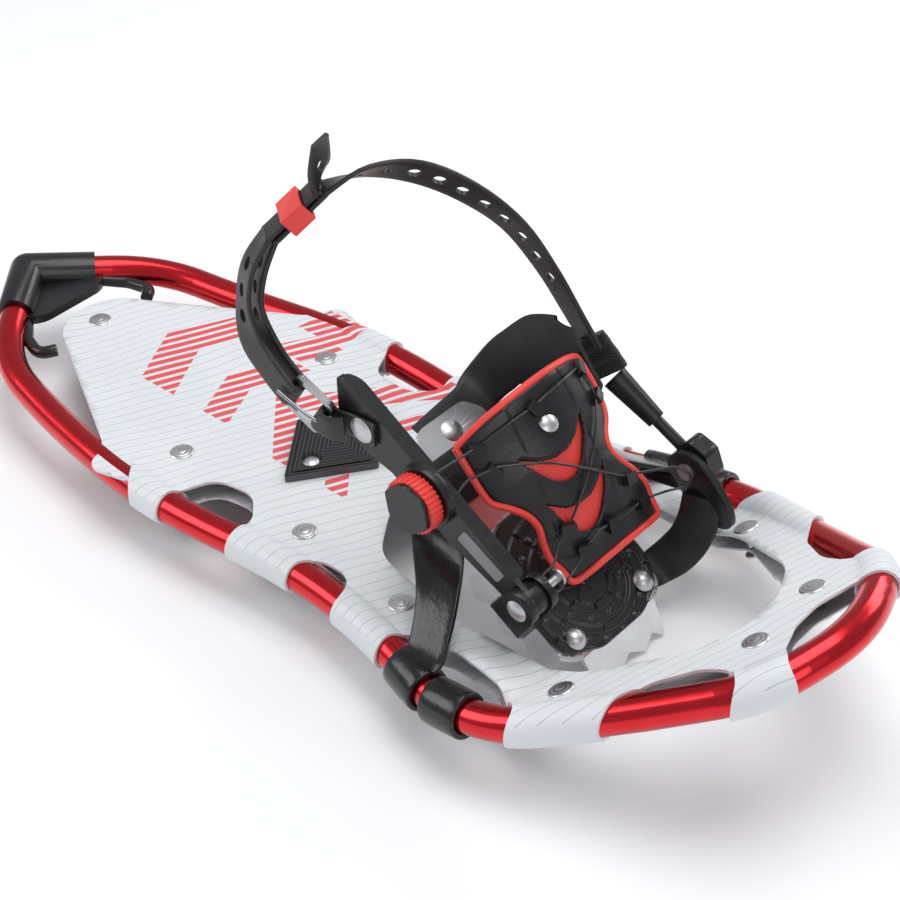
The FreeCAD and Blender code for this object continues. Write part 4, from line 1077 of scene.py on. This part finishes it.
def make_heel_strap(material):
    points = strap_route()
    rows = []
    last = None
    for i, point in enumerate(points):
        ahead = Vector(points[min(i + 1, len(points) - 1)]) - Vector(points[max(i - 1, 0)])
        here = Vector(point)
        out = Vector((here.x + 150.0, here.y * 1.6, 0))
        if KEEPER_LOW.z - 1 < here.z < KEEPER_TOP.z + 1 and here.y < -20:
            out = KEEPER_OUT
        if here.z < 22 and here.y < -56.8:
            out = Vector((0, -1, 0))
            ahead.y = 0 if abs(ahead.x) > 0.5 else ahead.y
        side = Vector((0, 0, 1)) if abs(here.z - BUCKLE_REAR.z) < 0.01 else ahead.cross(out).normalized()
        if i > len(points) - 3:
            side = (side + Vector((-0.42, -0.20, 0.0))).normalized()
        if last is not None and side.dot(last) < 0:
            side = -side
        last = side
        width = 15.0 if i < len(points) - 1 else 11.0
        rows.append((bound(*point), bound_dir(*side), width * MM))
    strap = band("heel_strap_band", rows, 2.2 * MM, material, per=5, across=6, round_by=0.7)

    bm = bmesh.new()
    centres = through([r[0] for r in rows], 24)
    sides = through([r[1] for r in rows], 24)
    travel = 0.0
    spots = []
    next_hole = FIRST_HOLE
    for i in range(1, len(centres) - STRAP_END):
        travel += (centres[i] - centres[i - 1]).length
        if travel >= next_hole:
            spots.append(i)
            next_hole += HOLE_PITCH
    for n, i in enumerate(spots):
        centre = centres[i]
        local_z = (centre - bound(0, 0, 0)).dot(bound_dir(0, 0, 1)) / MM
        near_buckle = local_z < 22 and centre.y < -0.05
        in_keeper = 50 < local_z < 84 and centre.y < -0.02
        if near_buckle or in_keeper or n > 31:
            continue
        ahead = (centres[i + 1] - centres[i - 1]).normalized()
        out = sides[i].cross(ahead).normalized()
        u, v = sides[i].normalized(), ahead
        rings = []
        for h in (-0.003, 0.003):
            rings.append([
                bm.verts.new(
                    centre + out * h + u * (HOLE_ACROSS * math.cos(a)) + v * (HOLE_ALONG * math.sin(a))
                )
                for a in (2 * math.pi * k / 16 for k in range(16))
            ])
        for k in range(16):
            bm.faces.new((rings[0][k], rings[0][(k + 1) % 16], rings[1][(k + 1) % 16], rings[1][k]))
        bm.faces.new(list(reversed(rings[0])))
        bm.faces.new(rings[1])
    bmesh.ops.recalc_face_normals(bm, faces=bm.faces)
    mesh = bpy.data.meshes.new("hole_cutters")
    bm.to_mesh(mesh)
    bm.free()
    cutters = bpy.data.objects.new("hole_cutters", mesh)
    bpy.context.scene.collection.objects.link(cutters)
    cut = strap.modifiers.new("holes", "BOOLEAN")
    cut.operation = "DIFFERENCE"
    cut.solver = "EXACT"
    cut.object = cutters
    apply_modifiers(strap)
    bpy.data.objects.remove(cutters)
    strap.data.set_sharp_from_angle(angle=math.radians(35))
    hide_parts("heel_strap")
    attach(strap, "harness")

    bar = BUCKLE_FRONT
    inner = bar.y + FOLD_R
    outer = bar.y - FOLD_R
    face = RAIL_OUT - 1.3
    points = [(-122, face, 33.5), (-128, face, 29.5), (-133, face, 25.5), (-138, inner, 21)]
    points += [(bar.x, inner, bar.z)] + half_turn(bar, FOLD_R, -1)
    points += [(bar.x, outer, bar.z), (-138, outer + 0.8, 20.5), (-133.5, face - 3.6, 24)]
    rows = []
    last = Vector((0, 0, 1))
    for i, point in enumerate(points):
        ahead = Vector(points[min(i + 1, len(points) - 1)]) - Vector(points[max(i - 1, 0)])
        side = Vector((0, 0, 1))
        if abs(point[0] - bar.x) > 5:
            side = Vector((-ahead.z, 0, ahead.x)).normalized()
        if side.dot(last) < 0:
            side = -side
        last = side
        rows.append((bound(*point), bound_dir(*side), 12.0 * MM))
    tongue = band("buckle_tongue_band", rows, 2.0 * MM, material, per=5)
    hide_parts("buckle_tongue")
    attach(tongue, "harness")


def make_cuff(material):
    rows = [
        (bound(-82.5, 62.2, 37.5), bound_dir(0, 0.25, 1), 19 * MM),
        (bound(-88, 61.3, 39.5), bound_dir(0, 0.25, 1), 19.5 * MM),
        (bound(-95, 60.1, 42.2), bound_dir(0, 0.25, 1), 19 * MM),
        (bound(-101, 59.0, 44.5), bound_dir(0, 0.25, 1), 18.5 * MM),
    ]

    def puffed(a, b, along, width):
        return a, b * (1.0 + 0.12 * math.sin(along * 900))

    cuff = band("ankle_cuff_woven", rows, 5.2 * MM, material, per=8, across=6, round_by=0.9, shape=puffed)
    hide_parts("ankle_cuff_left")
    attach(cuff, "harness")


# ---- finishes on the CAD nodes -----------------------------------------------------------------------
def dress(node, material, bevel=0.0, segments=2):
    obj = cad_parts[node]
    obj.data.materials.clear()
    obj.data.materials.append(material)
    if bevel:
        weld = obj.modifiers.new("weld", "WELD")
        weld.merge_threshold = 2e-6
        soft = obj.modifiers.new("soft_edges", "BEVEL")
        soft.width = bevel * MM
        soft.segments = segments
        soft.limit_method = "ANGLE"
        soft.angle_limit = math.radians(40)
        soft.harden_normals = True


def main():
    make_stage()
    black = plain(
        "black_moulding", (0.008, 0.008, 0.009), 0.33, grain=1300.0, bump=0.35, depth=0.0001
    ).material
    gloss_black = plain("gloss_cap", (0.010, 0.010, 0.012), 0.30, grain=900.0, bump=0.12, coat=0.2).material
    bright = steel("bright_steel", (0.60, 0.60, 0.61), 0.38)
    crampon = steel("crampon_steel", (0.88, 0.89, 0.90), 0.22)
    chrome = steel("plated_buckle", (0.40, 0.40, 0.42), 0.20)
    coral = plain(
        "coral_rubber", (0.78, 0.055, 0.045), 0.40, grain=1200.0, bump=0.15, vary=0.05
    ).material
    shell_mat = plain(
        "shell_slate", (0.011, 0.011, 0.013), 0.34, grain=700.0, bump=0.45, depth=0.0002
    ).material
    suspension = embossed_strap()
    strap = strap_material("strap_rubber_soft", (0.026, 0.022, 0.021), 0.36, 0.0062)
    wall_mat = plain("wall_rubber", (0.009, 0.009, 0.010), 0.42, grain=500.0, bump=0.5, depth=0.0002).material
    webbing = woven_material("black_webbing", (0.02, 0.02, 0.022), 0.0016)
    lace = plain("lace_coated", (0.014, 0.014, 0.015), 0.3, coat=0.3).material

    make_deck()
    make_rivets(bright)
    make_suspension(suspension)
    make_foot_pad(rubber_pad("foot_pad_rubber", "rings"))
    make_hinge_arm(black)
    make_wall(wall_mat)
    make_shell(shell_mat, coral, coral)
    make_heel_strap(strap)
    make_cuff(webbing)

    dress("frame_tube", tube_material())
    dress("tail_cap", gloss_black, 0.6, 3)
    dress("heel_pad", rubber_pad("heel_pad_rubber", "diamond"), 0.4)
    dress("heel_pad_rivets", bright)
    dress("heel_crampon", crampon, 0.25)
    dress("toe_crampon", crampon, 0.25)
    dress("toe_screws", bright)
    dress("plate_rivet", bright)
    for node in ("hinge_bracket_right", "hinge_collar_left", "rod_sleeve_left"):
        dress(node, black, 0.5)
    dress("side_rail_right", black, 0.9, 3)
    for node in ("hinge_pin_right", "hinge_pin_left", "rail_rivet", "shell_rivet"):
        dress(node, bright)
    dress("rod_left", gloss_black)
    dress("rail_badge", plain("badge_grey", (0.24, 0.24, 0.25), 0.4).material)
    dress("dial_housing", black, 0.4)
    dress("lace_spool", black)
    dress("dial_slider", black)
    dress("dial_grip", coral, 0.25)
    dress("dial_cap", black, 0.4)
    dress("lace_guides", black, 0.3)
    dress("lace", lace)
    dress("buckle_frame", chrome)
    dress("buckle_prong", chrome)
    dress("strap_keeper", coral, 0.5)


main()
